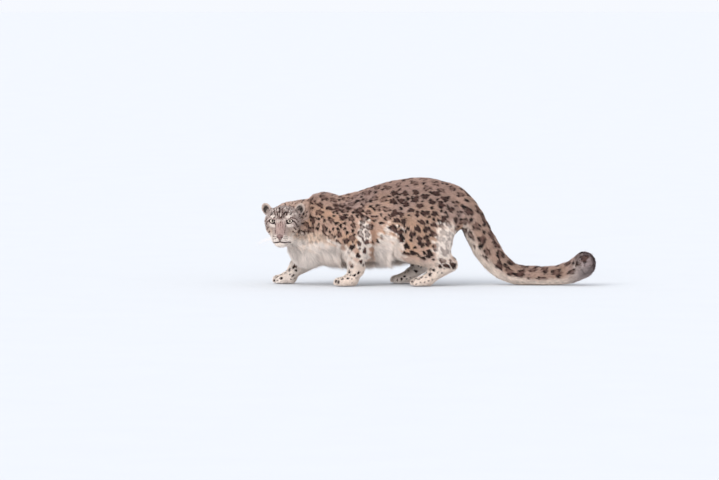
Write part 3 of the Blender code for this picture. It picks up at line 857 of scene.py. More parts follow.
def spot_darkness(points, spots):
    """How dark the spots make each point: 1 on a ring or solid spot, less inside a hollow one."""
    tree = tree_of(spots["place"], range(len(spots["place"])))
    nearest = np.array([[found[1] for found in tree.find_n(point, SPOTS_NEAR)] for point in points])
    rough = 0.13 * ripple(points, 0.011, 12) + 0.07 * ripple(points, 0.006, 13)
    dark = np.zeros(len(points))
    for near in nearest.T:
        gap = points - spots["place"][near]
        along, up = spots["along"][near], spots["up"][near]
        aside = np.cross(up, along)
        half = spots["half"][near]
        u = np.sum(gap * along, axis=1) / half
        v = np.sum(gap * aside, axis=1) / (half * spots["slim"][near])
        phase = spots["phase"][near]
        angle = np.arctan2(v, u)
        wobble = 1 + 0.16 * np.sin(2 * angle + phase[:, 0]) + 0.15 * np.sin(3 * angle + phase[:, 1])
        reach = np.hypot(u, v) / (wobble + 0.10 * np.sin(5 * angle + phase[:, 2])) + rough
        hollow = spots["hollow"][near]
        inner = fade(*RING_INNER, reach) * hollow
        gaps = fade(*RING_GAPS, np.sin(spots["breaks"][near] * angle + phase[:, 3])) * hollow
        here = fade(*SPOT_EDGE, reach) * (1 - 0.88 * inner) * (1 - 0.86 * gaps * (1 - inner))
        here *= spots["strength"][near] * fade(*SPOT_THROUGH, np.abs(np.sum(gap * up, axis=1)))
        dark = np.maximum(dark, here)
    return dark


def patch_at(x, z, patch, wander=0.0):
    """How strongly an oval patch covers each point, its edge moved in and out by the wander."""
    along, high, half_long, half_high, strength = patch
    reach = ((x - along) / half_long) ** 2 + ((z - high) / half_high) ** 2
    return fade(1.55, 0.30, reach + wander) * strength


def face_share(local):
    """1 on the front of the face, falling to 0 behind the cheeks."""
    return fade(0.002, -0.030, local[:, 1]) * fade(0.105, 0.085, np.abs(local[:, 0]))


def face_marks(local):
    """How dark the lines of the face make each point."""
    flat = folded(local)[:, [0, 2]]
    dark = np.zeros(len(local))
    wander = 1 + 0.30 * ripple(local, 0.012, 5)
    broken = 0.22 + 0.78 * fade(-0.7, 0.3, ripple(local, 0.015, 6))
    for line, half, strength in FACE_LINES:
        gap = line_distance(flat, line) * wander
        dark = np.maximum(dark, fade(half * 1.7, half * 0.5, gap) * strength * broken)
    streaks = fade(0.25, 0.95, ripple(local * (1.0, 0.5, 0.45), 0.010, 17))
    brow = fade(0.030, 0.048, local[:, 2]) * fade(0.062, 0.045, flat[:, 0])
    dark = np.maximum(dark, 0.95 * streaks * brow)
    dark = np.maximum(dark, fade(0.0032, 0.0012, mouth_distance(local)) * 0.85)
    return dark * face_share(local)


def lid_darkness(points):
    """The dark rim of the lids, wider at the inner corner."""
    dark = np.zeros(len(points))
    for side in (-1, 1):
        far, past, angle = past_lids(points, side)
        inner = np.clip(-np.cos(angle), 0, 1) ** 4
        rim = fade(math.radians(8), math.radians(3), past - math.radians(5) * inner)
        dark = np.maximum(dark, np.where(far < 0.026, rim, 0))
    return dark


def head_ground(local):
    """The head's ground colour: grey above, a warm bridge, pale brows, muzzle, chin and ruff."""
    x, y, z = folded(local).T
    colour = blend(GREY, CREAM, fade(0.010, -0.050, z) * fade(0.022, 0.055, x))
    colour = blend(colour, BUFF, fade(0.0, 0.05, y) * 0.7)
    bridge = fade(0.026, 0.016, x) * fade(0.045, 0.020, z) * fade(-0.046, -0.034, z)
    face = face_share(local)
    colour = blend(colour, BRIDGE, bridge * face)
    colour = colour * (1 + 0.11 * face * ripple(local * (1.0, 0.3, 0.25), 0.0045, 15))[:, None]
    grizzle = ripple(local * (1.0, 0.5, 0.45), 0.009, 18)
    colour = blend(colour, WHITE, 0.75 * fade(0.2, 0.9, grizzle) * fade(0.0, 0.04, z) * face)
    for patch in FACE_PATCHES:
        colour = blend(colour, WHITE, patch_at(x, z, patch, 0.35 * grizzle) * face)
    return blend(colour, WHITE, fade(-0.055, -0.085, z))


def ear_ground(local, normals):
    """Dark inside with pale hairs and a pale rim, and dark behind."""
    off = (folded(local) - in_head(middle("ear_left"))) / EAR_SIZE
    rim = fade(0.48, 0.80, np.hypot(off[:, 0], off[:, 2] + 0.10))
    hairs = fade(-0.2, 0.9, ripple(local * (1, 1, 0.3), 0.006, 14))
    toward_crown = fade(0.10, -0.55, off[:, 0])
    facing = (normals @ HEAD_AXES.T)[:, 1]
    inside = fade(0.10, -0.30, facing) * (1 - rim) * (1 - hairs * (0.25 + 0.65 * toward_crown))
    behind = fade(0.20, 0.75, facing)
    colour = blend(EAR_RIM, MARK_DARK, inside * 0.97)
    return blend(colour, MARK_DARK, behind * 0.92)


def ground_colour(points, normals, owners):
    """The coat's colour between its markings."""
    x, y, z = points.T
    trunk = is_node(owners, ("trunk", "neck"))
    tail = is_node(owners, "tail")
    high = fade(0.30, 0.47, z) * np.where(tail, 0.3, 1.0)
    warm = 0.55 * fade(-0.3, 1.1, ripple(points, 0.10, 8)) + 0.25 * is_node(owners, "thigh")
    cool = 0.75 * fade(-0.2, 1.0, ripple(points, 0.16, 3)) + np.where(tail, 0.25, 0.0)
    colour = blend(blend(BUFF, GOLD, warm), MAUVE, np.clip(cool, 0, 1))
    colour = blend(colour, BACK, high * 0.85)
    ruff = is_node(owners, "neck") * fade(0.285, 0.215, z)
    colour = blend(colour, CREAM, np.maximum(ruff, patch_at(x, z, CREAM_PATCH) * ~tail))
    wander = 0.42 * ripple(points, 0.045, 9) + 0.22 * ripple(points, 0.018, 10)
    colour = blend(colour, UMBER, patch_at(x, z, BROWN_PATCH, wander))
    pale = np.zeros(len(points))
    for patch in PALE_PATCHES:
        pale = np.maximum(pale, patch_at(x, z, patch, wander))
    colour = blend(colour, DUSK, 0.7 * tail + 0.5 * is_node(owners, "thigh") * fade(0.13, 0.18, z))
    pale = np.where(tail, 0.55 * fade(0.05, -0.8, normals[:, 2] + 0.5 * normals[:, 0]), pale)
    below = fade(0.05, -0.6, normals[:, 2]) * fade(0.24, 0.16, z)
    pale = np.where(trunk, np.maximum(pale, below), pale)
    limb = ~trunk & ~tail & ~is_node(owners, "head")
    inward = fade(0.1, 0.8, -normals[:, 1] * np.sign(y - TAIL_PATH[0, 1]))
    pale = np.where(limb, np.maximum(pale, np.maximum(inward, 0.55 * fade(0.18, 0.05, z))), pale)
    colour = blend(colour, PALE, fade(0.0, 0.55, pale))
    colour = blend(colour, WHITE, fade(0.45, 1.0, pale))
    colour = blend(colour, TAIL_TIP, np.where(tail, 0.85 * fade(0.62, 0.73, x), 0))
    local = in_head(points)
    colour = np.where(is_node(owners, HEAD_AND_JAW)[:, None], head_ground(local), colour)
    nape = fade(-0.05, 0.02, nape_distance(points)) * is_node(owners, "neck")
    colour = blend(colour, head_ground(local), nape * 0.8)
    return np.where(is_node(owners, "ear")[:, None], ear_ground(local, normals), colour)


def darkness(points, normals, owners, spots):
    """How dark the markings and the painted shade in folds and toe clefts are at each point, 0 to 1."""
    x, y, z = points.T
    dark = spot_darkness(points, spots)
    local = in_head(points)
    head = is_node(owners, HEAD_NODES)
    face = np.where(head, face_share(local), 0)
    dark *= 1 - face
    trunk = is_node(owners, ("trunk", "neck"))
    white = np.maximum(patch_at(x, z, CHEST_PATCH), patch_at(x, z, FLANK_PATCH))
    white = np.maximum(white, fade(0.0, -0.5, normals[:, 2]) * fade(0.24, 0.18, z))
    dark *= 1 - np.where(head, 0, 0.92 * fade(0.35, 0.9, white))
    dark *= 1 - np.where(~trunk & ~head, 0.75 * patch_at(x, z, THIGH_PATCH), 0)
    dark *= 1 - np.where(~head, 0.45 * patch_at(x, z, ELBOW_PATCH), 0)
    dark *= 1 - 0.75 * is_node(owners, "neck") * fade(0.245, 0.190, z)
    dark *= 1 - 0.80 * patch_at(x, z, CREAM_PATCH) * ~is_node(owners, "tail")
    dark *= 1 - 0.9 * fade(-0.035, -0.065, local[:, 2]) * head
    dark = np.where(is_node(owners, "ear"), 0, dark)
    dark = np.maximum(dark, np.where(head, face_marks(local), 0))
    # Painted shade along the fold behind the near shoulder blade, on the near side only, broken up
    from_crease_shade = line_distance(points[:, [0, 2]], CREASE_SHADE_LINE)
    near_side = fade(0.02, -0.02, y) * (1 - head)
    broken = fade(-1.2, 0.4, ripple(points, 0.030, 16))
    dark = np.maximum(dark, fade(0.0130, 0.0010, from_crease_shade) * near_side * broken * 0.75)
    # Painted shade in the clefts between the toes
    dark = np.maximum(dark, 0.45 * fade(0.35, 1.0, toe_clefts(points)))
    return np.maximum(dark, lid_darkness(points))


# The coat


def skin_facts(skin):
    """What the coat needs to know at each corner of the skin."""
    mesh = skin.data
    edges = edges_of(mesh)
    points, normals = corners_of(mesh), normals_of(mesh)
    calm = unit(smoothed(normals, edges, 4))
    owners = owners_of(points)
    depth = smoothed(coat_depth(points, calm, owners), edges, 6)
    flow = laid_flat(unit(smoothed(lie_of_hair(points, calm, owners), edges, 28)), calm)
    return {"points": points, "normals": calm, "owners": owners, "depth": depth, "flow": flow}


def bare(points, normals):
    """True where no hair stands: in the eye sockets, on the lids' edges, lips and soles, under the nose."""
    local = in_head(points)
    none = np.zeros(len(points), bool)
    for side in (-1, 1):
        far, past, _ = past_lids(points, side)
        none |= far < BARE_SOCKET
        none |= (far < BARE_LIDS) & (past < BARE_LID_ANGLE)
    nose = np.linalg.norm((local - NOSE_IN_HEAD) / NOSE_BARE, axis=1) < 1
    sole = (points[:, 2] < BARE_SOLE) & (normals[:, 2] < -0.7) & (points[:, 0] < 0.2)
    return none | nose | sole | (mouth_distance(local) < BARE_LIPS)


def tuft_length(depth):
    return SHORTEST + LENGTH_PER_DEPTH * depth


def tuft_width(depth):
    return np.minimum(THINNEST + WIDTH_PER_DEPTH * depth, WIDEST)


def roots(facts, corners, count, wanted, rng):
    """Spreads tufts over the skin's triangles, more of them where they are small."""
    points = facts["points"]
    a, b, c = (points[corners[:, i]] for i in range(3))
    area = np.linalg.norm(np.cross(b - a, c - a), axis=1) / 2
    depth = facts["depth"]
    thin = wanted / (tuft_length(depth) * tuft_width(depth)) ** 0.8
    expected = area * thin[corners].mean(axis=1)
    expected *= count / expected.sum()
    number = np.floor(expected + rng.random(len(expected))).astype(int)
    which = np.repeat(np.arange(len(corners)), number)
    r, s = np.sqrt(rng.random(len(which))), rng.random(len(which))
    shares = np.stack((1 - r, r * (1 - s), r * s), axis=1)

    def spread(values):
        return np.einsum("ij,ij...->i...", shares, values[corners[which]])

    return {
        "root": spread(points),
        "up": unit(spread(facts["normals"])),
        "along": unit(spread(facts["flow"])),
        "depth": spread(depth),
        "owner": facts["owners"][corners[which, 0]],
    }


def comb(tufts, rng):
    """Gives every tuft its length, width, lean and colour of its own, and draws neighbours together."""
    count = len(tufts["root"])
    root, up = tufts["root"], tufts["up"]
    aside = unit(np.cross(tufts["along"], up))
    swing = SWAY * ripple(root, 0.09, 21) + rng.normal(0, SWING, count)
    along = turned(tufts["along"], aside, swing)
    depth = tufts["depth"]
    length = tuft_length(depth) * rng.uniform(*LENGTH_RANGE, count)
    height = depth * rng.uniform(*HEIGHT_RANGE, count) * (1 + HEIGHT_SWELL * ripple(root, 0.035, 22))
    height = np.where(rng.random(count) < PROUD_SHARE, height * PROUD_HEIGHT, height)
    reach = np.sqrt(np.maximum(length ** 2 - height ** 2, (LEAST_REACH * length) ** 2)) * BENT_REACH
    tufts.update(along=along, aside=unit(np.cross(along, up)), height=height, reach=reach)
    tufts["width"] = tuft_width(depth) * rng.uniform(*WIDTH_RANGE, count)
    tufts["wave"] = rng.normal(0, WAVE, count) * length
    tufts["stray"] = rng.normal(0, STRAY, count) * length
    tufts["vary"] = np.clip(0.5 + 0.20 * rng.normal(size=count) + 0.12 * ripple(root, 0.03, 23), 0, 1)
    hanging = fade(*DROOP_DEPTH, depth) * fade(0.6, -0.2, up[:, 2])
    tufts["droop"] = DROOP * length * hanging * rng.uniform(*DROOP_RANGE, count)
    tip = root + up * height[:, None] + along * reach[:, None]
    leaders = rng.choice(count, count // TUFTS_PER_LEADER, replace=False)
    tree = tree_of(tip[leaders], leaders)
    leader = np.array([tree.find(point)[1] for point in tip])
    pull = tip[leader] - tip
    near = np.linalg.norm(pull, axis=1) < PULL_REACH * length
    tufts["pull"] = pull * (near * rng.uniform(*PULL_RANGE, count))[:, None]


def spine(tufts, t):
    """The place on each tuft's middle line at a share of the way from root to tip."""
    rise = tufts["height"] * (1 - (1 - t) ** RISE_POWER - TIP_DIP * t ** 2) - ROOT_SINK * (1 - t)
    run = tufts["reach"] * t ** RUN_POWER
    bend = tufts["wave"] * math.sin(math.pi * t)
    place = tufts["root"] + tufts["up"] * rise[:, None] + tufts["along"] * run[:, None]
    place = place + tufts["aside"] * bend[:, None] + tufts["pull"] * t ** 2
    place[:, 2] -= tufts["droop"] * t ** 2
    return place


def spindles(tufts):
    """Corners, shading directions and map of closed tufts, and their corners' places along them."""
    up, aside, wide = tufts["up"], tufts["aside"], tufts["width"][:, None]
    waist = spine(tufts, WIDEST_AT)
    left, right, ridge = waist - aside * wide / 2, waist + aside * wide / 2, waist + up * wide * RIDGE
    corners = np.stack((spine(tufts, 0.0), left, right, ridge, spine(tufts, 1.0)), axis=1)
    corners[:, :, 2] = np.maximum(corners[:, :, 2], LOWEST)
    lit = unit(up + np.array((0.0, 0.0, LIFT)))
    lean = aside * SOFTNESS
    shades = np.stack((lit, lit - lean, lit + lean, lit, lit + tufts["along"] * SOFTNESS / 2), axis=1)
    heights = np.array((0.0, WIDEST_AT, WIDEST_AT, WIDEST_AT, 1.0))
    across = np.array((0.5, 0.0, 1.0, 0.5, 0.5))
    patch = np.stack((across - 0.5, heights - 0.5), axis=1) * PATCH
    return corners, unit(shades), tufts["map"][:, None, :] + patch[None], heights


def put_trait(mesh, name, values):
    """Stores a number, or a colour, at each corner of a mesh for its material."""
    kind, field = ("FLOAT", "value") if values.ndim == 1 else ("FLOAT_COLOR", "color")
    if values.ndim == 2:
        values = np.column_stack((values, np.ones(len(values))))
    layer = mesh.attributes.new(name, kind, "POINT")
    layer.data.foreach_set(field, values.astype(np.float32).ravel())


def coat_piece(name, tufts, material):
    """One mesh of many tufts, with their colours and their map."""
    corners, shades, mapped, heights = spindles(tufts)
    count, per = corners.shape[:2]
    template = np.array(TUFT_FACES).ravel()
    faces = count * len(TUFT_FACES)
    loops = (template[None] + (np.arange(count) * per)[:, None]).ravel()
    mesh = bpy.data.meshes.new(name)
    mesh.vertices.add(count * per)
    mesh.vertices.foreach_set("co", corners.astype(np.float32).ravel())
    mesh.loops.add(len(loops))
    mesh.loops.foreach_set("vertex_index", loops.astype(np.int32))
    mesh.polygons.add(faces)
    mesh.polygons.foreach_set("loop_start", np.arange(0, 3 * faces, 3, dtype=np.int32))
    mesh.polygons.foreach_set("use_smooth", np.ones(faces, bool))
    mesh.update(calc_edges=True)
    layer = mesh.uv_layers.new(name="OFBake")
    layer.data.foreach_set("uv", mapped[:, template].astype(np.float32).ravel())
    for trait in ("ground", "marks_and_shade", "vary"):
        put_trait(mesh, trait, np.repeat(tufts[trait], per, axis=0))
    put_trait(mesh, "along", np.tile(heights, count))
    shown = shades[:, template]
    shown[:, -3 * len(UNDERSIDES):] = -tufts["up"][:, None, :]
    mesh.normals_split_custom_set(shown.reshape(-1, 3))
    mesh.materials.append(material)
    return new_object(name, mesh)


def unwrap(points, owners):
    """Each point's place on the map: every node is rolled out round its longest side."""
    place = np.full((len(points), 2), 0.5)
    bottom = 0.0
    for share, nodes in MAP_ROWS:
        for column, node in enumerate(nodes):
            here = owners == FLESH.index(node)
            low, high = (np.array(corner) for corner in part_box(node))
            axis = int(np.argmax(high - low))
            first, second = (i for i in range(3) if i != axis)
            gap = points[here] - (low + high) / 2
            around = np.arctan2(gap[:, first], gap[:, second]) / (2 * math.pi) + 0.5
            onward = np.clip((points[here][:, axis] - low[axis]) / (high - low)[axis], 0, 1)
            if axis == 2:
                u, v = around, onward
            else:
                u, v = onward, around
            width = 1.0 / len(nodes)
            place[here, 0] = column * width + (0.02 + 0.96 * u) * width
            place[here, 1] = bottom + (0.02 + 0.96 * v) * share
        bottom += share
    return place


def colour_tufts(tufts, spots):
    """Colours each tuft for the place that its tip covers, as the tips are what shows."""
    shown = spine(tufts, COLOUR_AT) + tufts["along"] * tufts["stray"][:, None]
    tufts["ground"] = ground_colour(shown, tufts["up"], tufts["owner"])
    tufts["marks_and_shade"] = darkness(shown, tufts["up"], tufts["owner"], spots)
    tufts["map"] = unwrap(tufts["root"], tufts["owner"])


def picked(tufts, chosen):
    """Only the chosen tufts."""
    return {key: values[chosen] for key, values in tufts.items()}


def build_coat(skin, facts, spots, material):
    """All the tufts, shared out among pieces that each span the animal."""
    rng = np.random.default_rng(7)
    corners = read(skin.data.polygons, "vertices", 3, np.int32)
    furred = ~bare(facts["points"], facts["normals"])
    long_hair = fade(*SHORT_TO_LONG, facts["depth"])
    groups = []
    for count, wanted in ((LONG_TUFTS, long_hair), (SHORT_TUFTS, 1 - long_hair)):
        tufts = roots(facts, corners, count, wanted * furred, rng)
        keep = ~bare(tufts["root"], tufts["up"])
        tufts = picked(tufts, keep)
        comb(tufts, rng)
        colour_tufts(tufts, spots)
        groups.append(tufts)
    tufts = {key: np.concatenate([group[key] for group in groups]) for key in groups[0]}
    order = rng.permutation(len(tufts["root"]))
    return [
        coat_piece(f"coat_layer_{number + 1}", picked(tufts, order[number::COAT_PIECES]), material)
        for number in range(COAT_PIECES)
    ]


# Eyes, nose and whiskers


def build_eye(side, name, material):
    """A wet eyeball whose corners know how far, and which way, they lie from the line of sight."""
    centre = eye_frame(side)[0]
    sight = unit(np.array(EYE_TURN))
    eye = ball(name, centre, EYE_RADIUS, 96, 64, EYE_TURN)
    way = unit(corners_of(eye.data) - centre)
    out = np.arccos(np.clip(way @ sight, -1, 1))
    level = unit(np.cross(sight, (0.0, 0.0, 1.0)))
    raised = np.cross(level, sight)
    put_trait(eye.data, "out", out)
    put_trait(eye.data, "level", way @ level)
    put_trait(eye.data, "raised", way @ raised)
    bulge = fade(IRIS_ANGLE * 1.1, 0.0, out) * CORNEA_RISE
    move_corners(eye.data, corners_of(eye.data) + way * bulge[:, None])
    smooth_shade(eye)
    eye.data.materials.append(material)
    return eye


def smooth_shade(thing):
    thing.data.polygons.foreach_set("use_smooth", np.ones(len(thing.data.polygons), bool))
    thing.data.update()


def build_nose(material):
    """The nose pad, remade finely from its node, with wings, a middle groove and deep nostrils."""
    nose = flesh("nose_pad", {"nose": 0.0004})
    modify(nose, "REMESH", mode="VOXEL", voxel_size=NOSE_CELL)
    mesh = nose.data
    points = without_facets(corners_of(mesh), edges_of(mesh), 12)
    move_corners(mesh, points)
    normals = normals_of(mesh)
    local = in_head(points)
    x, y, z = folded(local).T
    front = fade(-0.112, -0.118, y)
    groove = fade(0.0016, 0.0, x) * fade(-0.044, -0.050, z) * front * NOSE_GROOVE
    hole_x, hole_z = x - NOSTRIL_AT[0], z - NOSTRIL_AT[1]
    hole = np.hypot(hole_x / NOSTRIL_SIZE[0], (hole_z + hole_x * 0.45) / NOSTRIL_SIZE[1])
    slit = np.hypot((x - SLIT_AT[0]) / SLIT_SIZE[0], (z - SLIT_AT[1]) / SLIT_SIZE[1])
    nostril = np.maximum(fade(1.2, 0.35, hole), fade(1.2, 0.5, slit)) * front
    from_wing = np.abs(np.hypot(x - WING_AT[0], (z - WING_AT[1]) * 1.3) - WING_RADIUS)
    wing = fade(0.0022, 0.0, from_wing) * front
    move_corners(mesh, points + normals * (wing * WING_RISE - groove - nostril * NOSTRIL_DEPTH)[:, None])
    # The nostrils, and more faintly the middle groove, are marked for painted shade
    put_trait(mesh, "hollow", np.clip(nostril + 0.55 * groove / NOSE_GROOVE, 0, 1))
    put_trait(mesh, "edge", fade(-0.110, -0.104, y) + fade(-0.041, -0.037, z))
    smooth_shade(nose)
    mesh.materials.append(material)
    return nose


def hair_tube(shape, path):
    """A closed round hair along the points, drawn out to a fine tip."""
    turns = np.arange(WHISKER_SIDES) * 2 * math.pi / WHISKER_SIDES
    rings = []
    for i, place in enumerate(path[:-1]):
        run = unit(path[min(i + 1, len(path) - 1)] - path[max(i - 1, 0)])
        across = unit(np.cross(run, (0.0, 0.0, 1.0)))
        upward = np.cross(across, run)
        radius = WHISKER_THICKNESS / 2 * (1 - 0.72 * i / (len(path) - 1))
        ways = [across * math.cos(turn) + upward * math.sin(turn) for turn in turns]
        rings.append([shape.verts.new(place + way * radius) for way in ways])
    tip = shape.verts.new(path[-1])
    shape.faces.new(rings[0][::-1])
    for k in range(WHISKER_SIDES):
        for low, high in zip(rings, rings[1:]):
            shape.faces.new((low[k - 1], low[k], high[k], high[k - 1]))
        shape.faces.new((rings[-1][k - 1], rings[-1][k], tip))


def build_whiskers(tree, material):
    """Long white hairs on the whisker pads and over the eyes, rooted on the skin."""
    rng = np.random.default_rng(31)
    shape = bmesh.new()
    back = np.array((0.0, 1.0, 0.0)) @ HEAD_AXES
    starts = []
    for side in (-1, 1):
        for z, count, near, far, length in WHISKER_ROWS:
            for x in np.linspace(near, far, count):
                way = np.array((side * 1.0, -0.22 + 9.0 * (x - near), -0.16 + 12 * (z + 0.054)))
                starts.append((side * x, z + rng.normal(0, 0.0006), way, length * rng.uniform(0.75, 1.1)))
        for x, z in BROW_WHISKERS:
            way = np.array((side * 0.35, -0.25, 1.0))
            starts.append((side * x, z, way, 0.045 * rng.uniform(0.8, 1.1)))
    for x, z, way, length in starts:
        hit = tree.ray_cast(Vector(from_head((x, -0.25, z))), Vector(back))[0]
        root = in_head(np.array(hit))
        way = unit(way + rng.normal(0, 0.07, 3))
        path = []
        for t in np.linspace(-0.03, 1, WHISKER_POINTS):
            droop = np.array((0, 0.30, -0.22)) * t * abs(t)
            path.append(from_head(root + (way * t + droop) * length))
        hair_tube(shape, path)
    bmesh.ops.recalc_face_normals(shape, faces=shape.faces)
    hairs = object_from(shape, "whiskers")
    smooth_shade(hairs)
    hairs.data.materials.append(material)
    return hairs


# Materials


class Nodes:
    """A short way to write one material's nodes."""

    def __init__(self, name):
        self.material = bpy.data.materials.new(name)
        self.material.use_nodes = True
        self.tree = self.material.node_tree
        self.shader = self.tree.nodes["Principled BSDF"]

    def add(self, kind, inputs=(), **settings):
        node = self.tree.nodes.new(kind)
        for key, value in settings.items():
            setattr(node, key, value)
        for slot, value in dict(inputs).items():
            self.put(node.inputs[slot], value)
        return node

    def put(self, slot, value):
        if isinstance(value, bpy.types.NodeSocket):
            self.tree.links.new(value, slot)
        else:
            slot.default_value = value

    def trait(self, name, output="Fac"):
        return self.add("ShaderNodeAttribute", attribute_name=name).outputs[output]

    def maths(self, operation, first, second=0.0, clamp=False):
        node = self.add("ShaderNodeMath", {0: first, 1: second}, operation=operation, use_clamp=clamp)
        return node.outputs[0]

    def mix(self, share, first, second, blend_type="MIX"):
        node = self.add("ShaderNodeMix", data_type="RGBA", blend_type=blend_type)
        self.put(node.inputs["Factor"], share)
        self.put(node.inputs["A"], first)
        self.put(node.inputs["B"], second)
        return node.outputs["Result"]

    def noise(self, scale, detail=3.0, roughness=0.5, stretch=None):
        place = self.add("ShaderNodeTexCoord").outputs["Object"]
        if stretch:
            place = self.add("ShaderNodeMapping", {"Vector": place, "Scale": stretch}).outputs[0]
        node = self.add("ShaderNodeTexNoise", {
            "Vector": place, "Scale": scale, "Detail": detail, "Roughness": roughness})
        return node.outputs["Fac"]

    def scaled(self, value, low, high):
        """A value from 0 to 1 spread between two others."""
        node = self.add("ShaderNodeMapRange", {"Value": value, "To Min": low, "To Max": high})
        return node.outputs[0]

    def shaded(self, colour, value):
        """A colour multiplied by a value."""
        grey = self.add("ShaderNodeCombineColor", {0: value, 1: value, 2: value}).outputs[0]
        return self.mix(1.0, colour, grey, "MULTIPLY")

    def bump(self, height, strength, distance):
        node = self.add("ShaderNodeBump", {"Height": height, "Strength": strength, "Distance": distance})
        self.put(self.shader.inputs["Normal"], node.outputs[0])

    def surface(self, colour, **settings):
        self.put(self.shader.inputs["Base Color"], colour)
        for name, value in settings.items():
            self.put(self.shader.inputs[name.replace("_", " ")], value)
        return self.material


def opaque(colour):
    return (*colour, 1.0)


def with_marks_and_shade(nodes, marks_and_shade):
    """The ground colour with the brown and then the near-black of the markings and painted shade over it."""
    patchy = nodes.scaled(nodes.noise(26.0), 0.86, 1.14)
    ground = nodes.shaded(nodes.trait("ground", "Color"), patchy)
    brown = nodes.maths("MULTIPLY", marks_and_shade, 2.0, clamp=True)
    black = nodes.maths("MULTIPLY_ADD", marks_and_shade, 2.0, clamp=True)
    black.node.inputs[2].default_value = -0.80
    return nodes.mix(black, nodes.mix(brown, ground, opaque(MARK_FILL)), opaque(MARK_DARK))


def coat_material():
    nodes = Nodes("winter_coat")
    marks_and_shade = nodes.trait("marks_and_shade")
    vary, along = nodes.trait("vary"), nodes.trait("along")
    colour = with_marks_and_shade(nodes, marks_and_shade)
    # Each tuft's own random tone, times painted shade that darkens it towards its root where tufts shade one
    # another
    shade = nodes.maths("MULTIPLY", nodes.scaled(vary, 0.70, 1.26), nodes.scaled(along, 0.56, 1.12))
    colour = nodes.shaded(colour, shade)
    rough = nodes.scaled(vary, 0.62, 0.80)
    return nodes.surface(colour, Roughness=rough, Specular_IOR_Level=0.28)


def skin_material():
    nodes = Nodes("skin_and_short_hair")
    fine = nodes.noise(900.0, 4.0, 0.6)
    streaks = nodes.noise(260.0, 3.0, 0.6, (1.0, 0.35, 1.0))
    colour = with_marks_and_shade(nodes, nodes.trait("marks_and_shade"))
    shade = nodes.maths("MULTIPLY", nodes.scaled(fine, 0.72, 1.12), nodes.scaled(streaks, 0.80, 1.10))
    colour = nodes.shaded(colour, shade)
    nodes.bump(nodes.maths("ADD", fine, streaks), 0.6, 0.0012)
    return nodes.surface(colour, Roughness=nodes.scaled(streaks, 0.60, 0.82), Specular_IOR_Level=0.25)


def whisker_material():
    nodes = Nodes("whisker_hair")
    bands = nodes.scaled(nodes.noise(120.0), 0.82, 1.0)
    colour = nodes.shaded(opaque(WHITE), bands)
    return nodes.surface(colour, Roughness=nodes.scaled(bands, 0.30, 0.42), Specular_IOR_Level=0.5)


def eye_material():
    """A round pupil in a pale grey-green iris with fine rays, a dark ring and a brown white."""
    nodes = Nodes("wet_eye")
    out = nodes.trait("out")
    way = nodes.add("ShaderNodeCombineXYZ", {0: nodes.trait("level"), 1: nodes.trait("raised")}).outputs[0]
    round_way = nodes.add("ShaderNodeVectorMath", {0: way}, operation="NORMALIZE").outputs[0]
    drift = nodes.add("ShaderNodeCombineXYZ", {2: nodes.maths("MULTIPLY", out, 1.2)}).outputs[0]
    spokes = nodes.add("ShaderNodeVectorMath", {0: round_way, 1: drift}, operation="ADD").outputs[0]
    rays = nodes.add("ShaderNodeTexNoise", {"Vector": spokes, "Scale": 22.0, "Detail": 4.0}).outputs["Fac"]
    rings = nodes.add("ShaderNodeValToRGB", {0: nodes.maths("DIVIDE", out, math.pi)})
    stops = rings.color_ramp.elements
    while len(stops) < len(IRIS_RINGS):
        stops.new(0.5)
    for stop, (angle, colour) in zip(stops, IRIS_RINGS):
        stop.position = angle / math.pi
    for stop, (angle, colour) in zip(stops, IRIS_RINGS):
        stop.color = opaque(tint(*colour))
    colour = nodes.shaded(rings.outputs[0], nodes.scaled(rays, 0.62, 1.38))
    wet = nodes.scaled(rays, 0.03, 0.06)
    return nodes.surface(colour, Roughness=wet, Specular_IOR_Level=0.20)


def nose_material():
    nodes = Nodes("nose_leather")
    place = nodes.add("ShaderNodeTexCoord").outputs["Object"]
    pebbles = nodes.add("ShaderNodeTexVoronoi", {"Vector": place, "Scale": 950.0}).outputs["Distance"]
    patches = nodes.noise(140.0)
    base = nodes.mix(patches, opaque(tint(104, 80, 76)), opaque(tint(164, 132, 124)))
    base = nodes.mix(nodes.trait("edge"), base, opaque(tint(44, 32, 31)))
    # Near-black painted shade in the nostrils and the middle groove
    base = nodes.mix(nodes.trait("hollow"), base, opaque(tint(30, 18, 17)))
    colour = nodes.shaded(base, nodes.scaled(pebbles, 1.06, 0.80))
    nodes.bump(nodes.maths("MULTIPLY", pebbles, -1.0), 0.5, 0.0004)
    return nodes.surface(colour, Roughness=nodes.scaled(patches, 0.34, 0.50), Specular_IOR_Level=0.5)


# Stage, light and camera


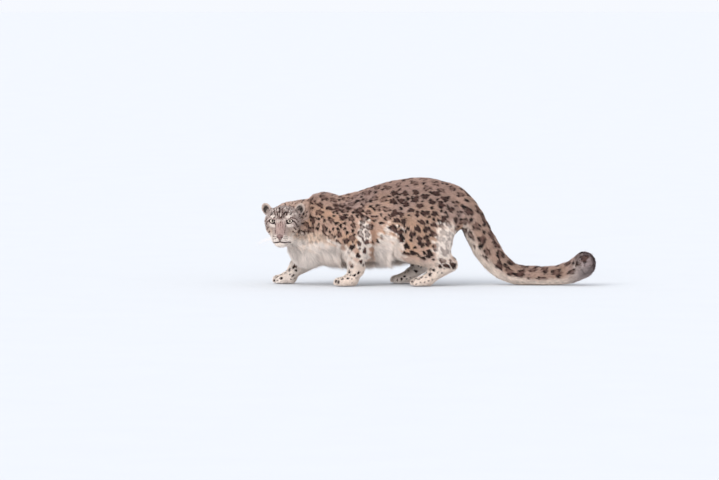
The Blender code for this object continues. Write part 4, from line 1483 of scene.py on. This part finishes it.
def set_stage():
    shape = bmesh.new()
    bmesh.ops.create_circle(shape, cap_ends=True, segments=96, radius=FLOOR_RADIUS)
    floor = object_from(shape, "floor")
    nodes = Nodes("pale_floor")
    grain = nodes.scaled(nodes.noise(3.0), 0.97, 1.0)
    colour = nodes.shaded(FLOOR_COLOUR, grain)
    floor.data.materials.append(nodes.surface(colour, Roughness=0.9, Specular_IOR_Level=0.0))

    world = bpy.data.worlds.new("soft_sky")
    world.use_nodes = True
    sky = world.node_tree.nodes["Background"]
    sky.inputs["Color"].default_value = SKY_COLOUR
    sky.inputs["Strength"].default_value = 1.0
    bpy.context.scene.world = world
    for name, power, width, turn in LAMPS:
        lamp = bpy.data.lights.new(name, "SUN")
        lamp.energy = power
        lamp.angle = math.radians(width)
        lamp.color = LAMP_COLOUR
        thing = bpy.data.objects.new(name, lamp)
        thing.rotation_euler = [math.radians(angle) for angle in turn]
        bpy.context.scene.collection.objects.link(thing)
    bpy.context.scene.view_settings.view_transform = "Standard"


def set_camera():
    lens = bpy.data.cameras.new("camera")
    lens.lens = LENS
    lens.sensor_width = SENSOR
    lens.clip_end = 400.0
    camera = bpy.data.objects.new("camera", lens)
    bpy.context.scene.collection.objects.link(camera)
    back = Vector((0, -math.cos(VIEW_ELEVATION), math.sin(VIEW_ELEVATION)))
    distance = PHOTO_WIDTH * PIXEL * LENS / SENSOR
    camera.location = VIEW_CENTRE + back * distance
    camera.rotation_mode = "QUATERNION"
    camera.rotation_quaternion = (-back).to_track_quat("-Z", "Y")
    bpy.context.scene.camera = camera


# The whole animal


def colour_skin(skin, facts, spots):
    mesh = skin.data
    points, normals, owners = facts["points"], facts["normals"], facts["owners"]
    put_trait(mesh, "ground", ground_colour(points, normals, owners))
    put_trait(mesh, "marks_and_shade", darkness(points, normals, owners, spots))


def main():
    set_camera()
    set_stage()
    skin = build_skin()
    facts = skin_facts(skin)
    spots = spot_centres(facts["points"], facts["normals"], facts["owners"], facts["flow"])
    colour_skin(skin, facts, spots)
    smooth_shade(skin)
    skin.data.materials.clear()
    skin.data.materials.append(skin_material())
    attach(skin, "root")
    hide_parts(*FLESH)

    for piece in build_coat(skin, facts, spots, coat_material()):
        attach(piece, "root")

    wet = eye_material()
    for side, name in ((1, "eye_left"), (-1, "eye_right")):
        eye = build_eye(side, name + "_ball", wet)
        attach(eye, "root")
        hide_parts(name)

    nose = build_nose(nose_material())
    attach(nose, "root")
    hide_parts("nose")

    tree = BVHTree.FromPolygons(
        [vert.co.copy() for vert in skin.data.vertices], [list(face.vertices) for face in skin.data.polygons])
    whiskers = build_whiskers(tree, whisker_material())
    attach(whiskers, "root")


main()
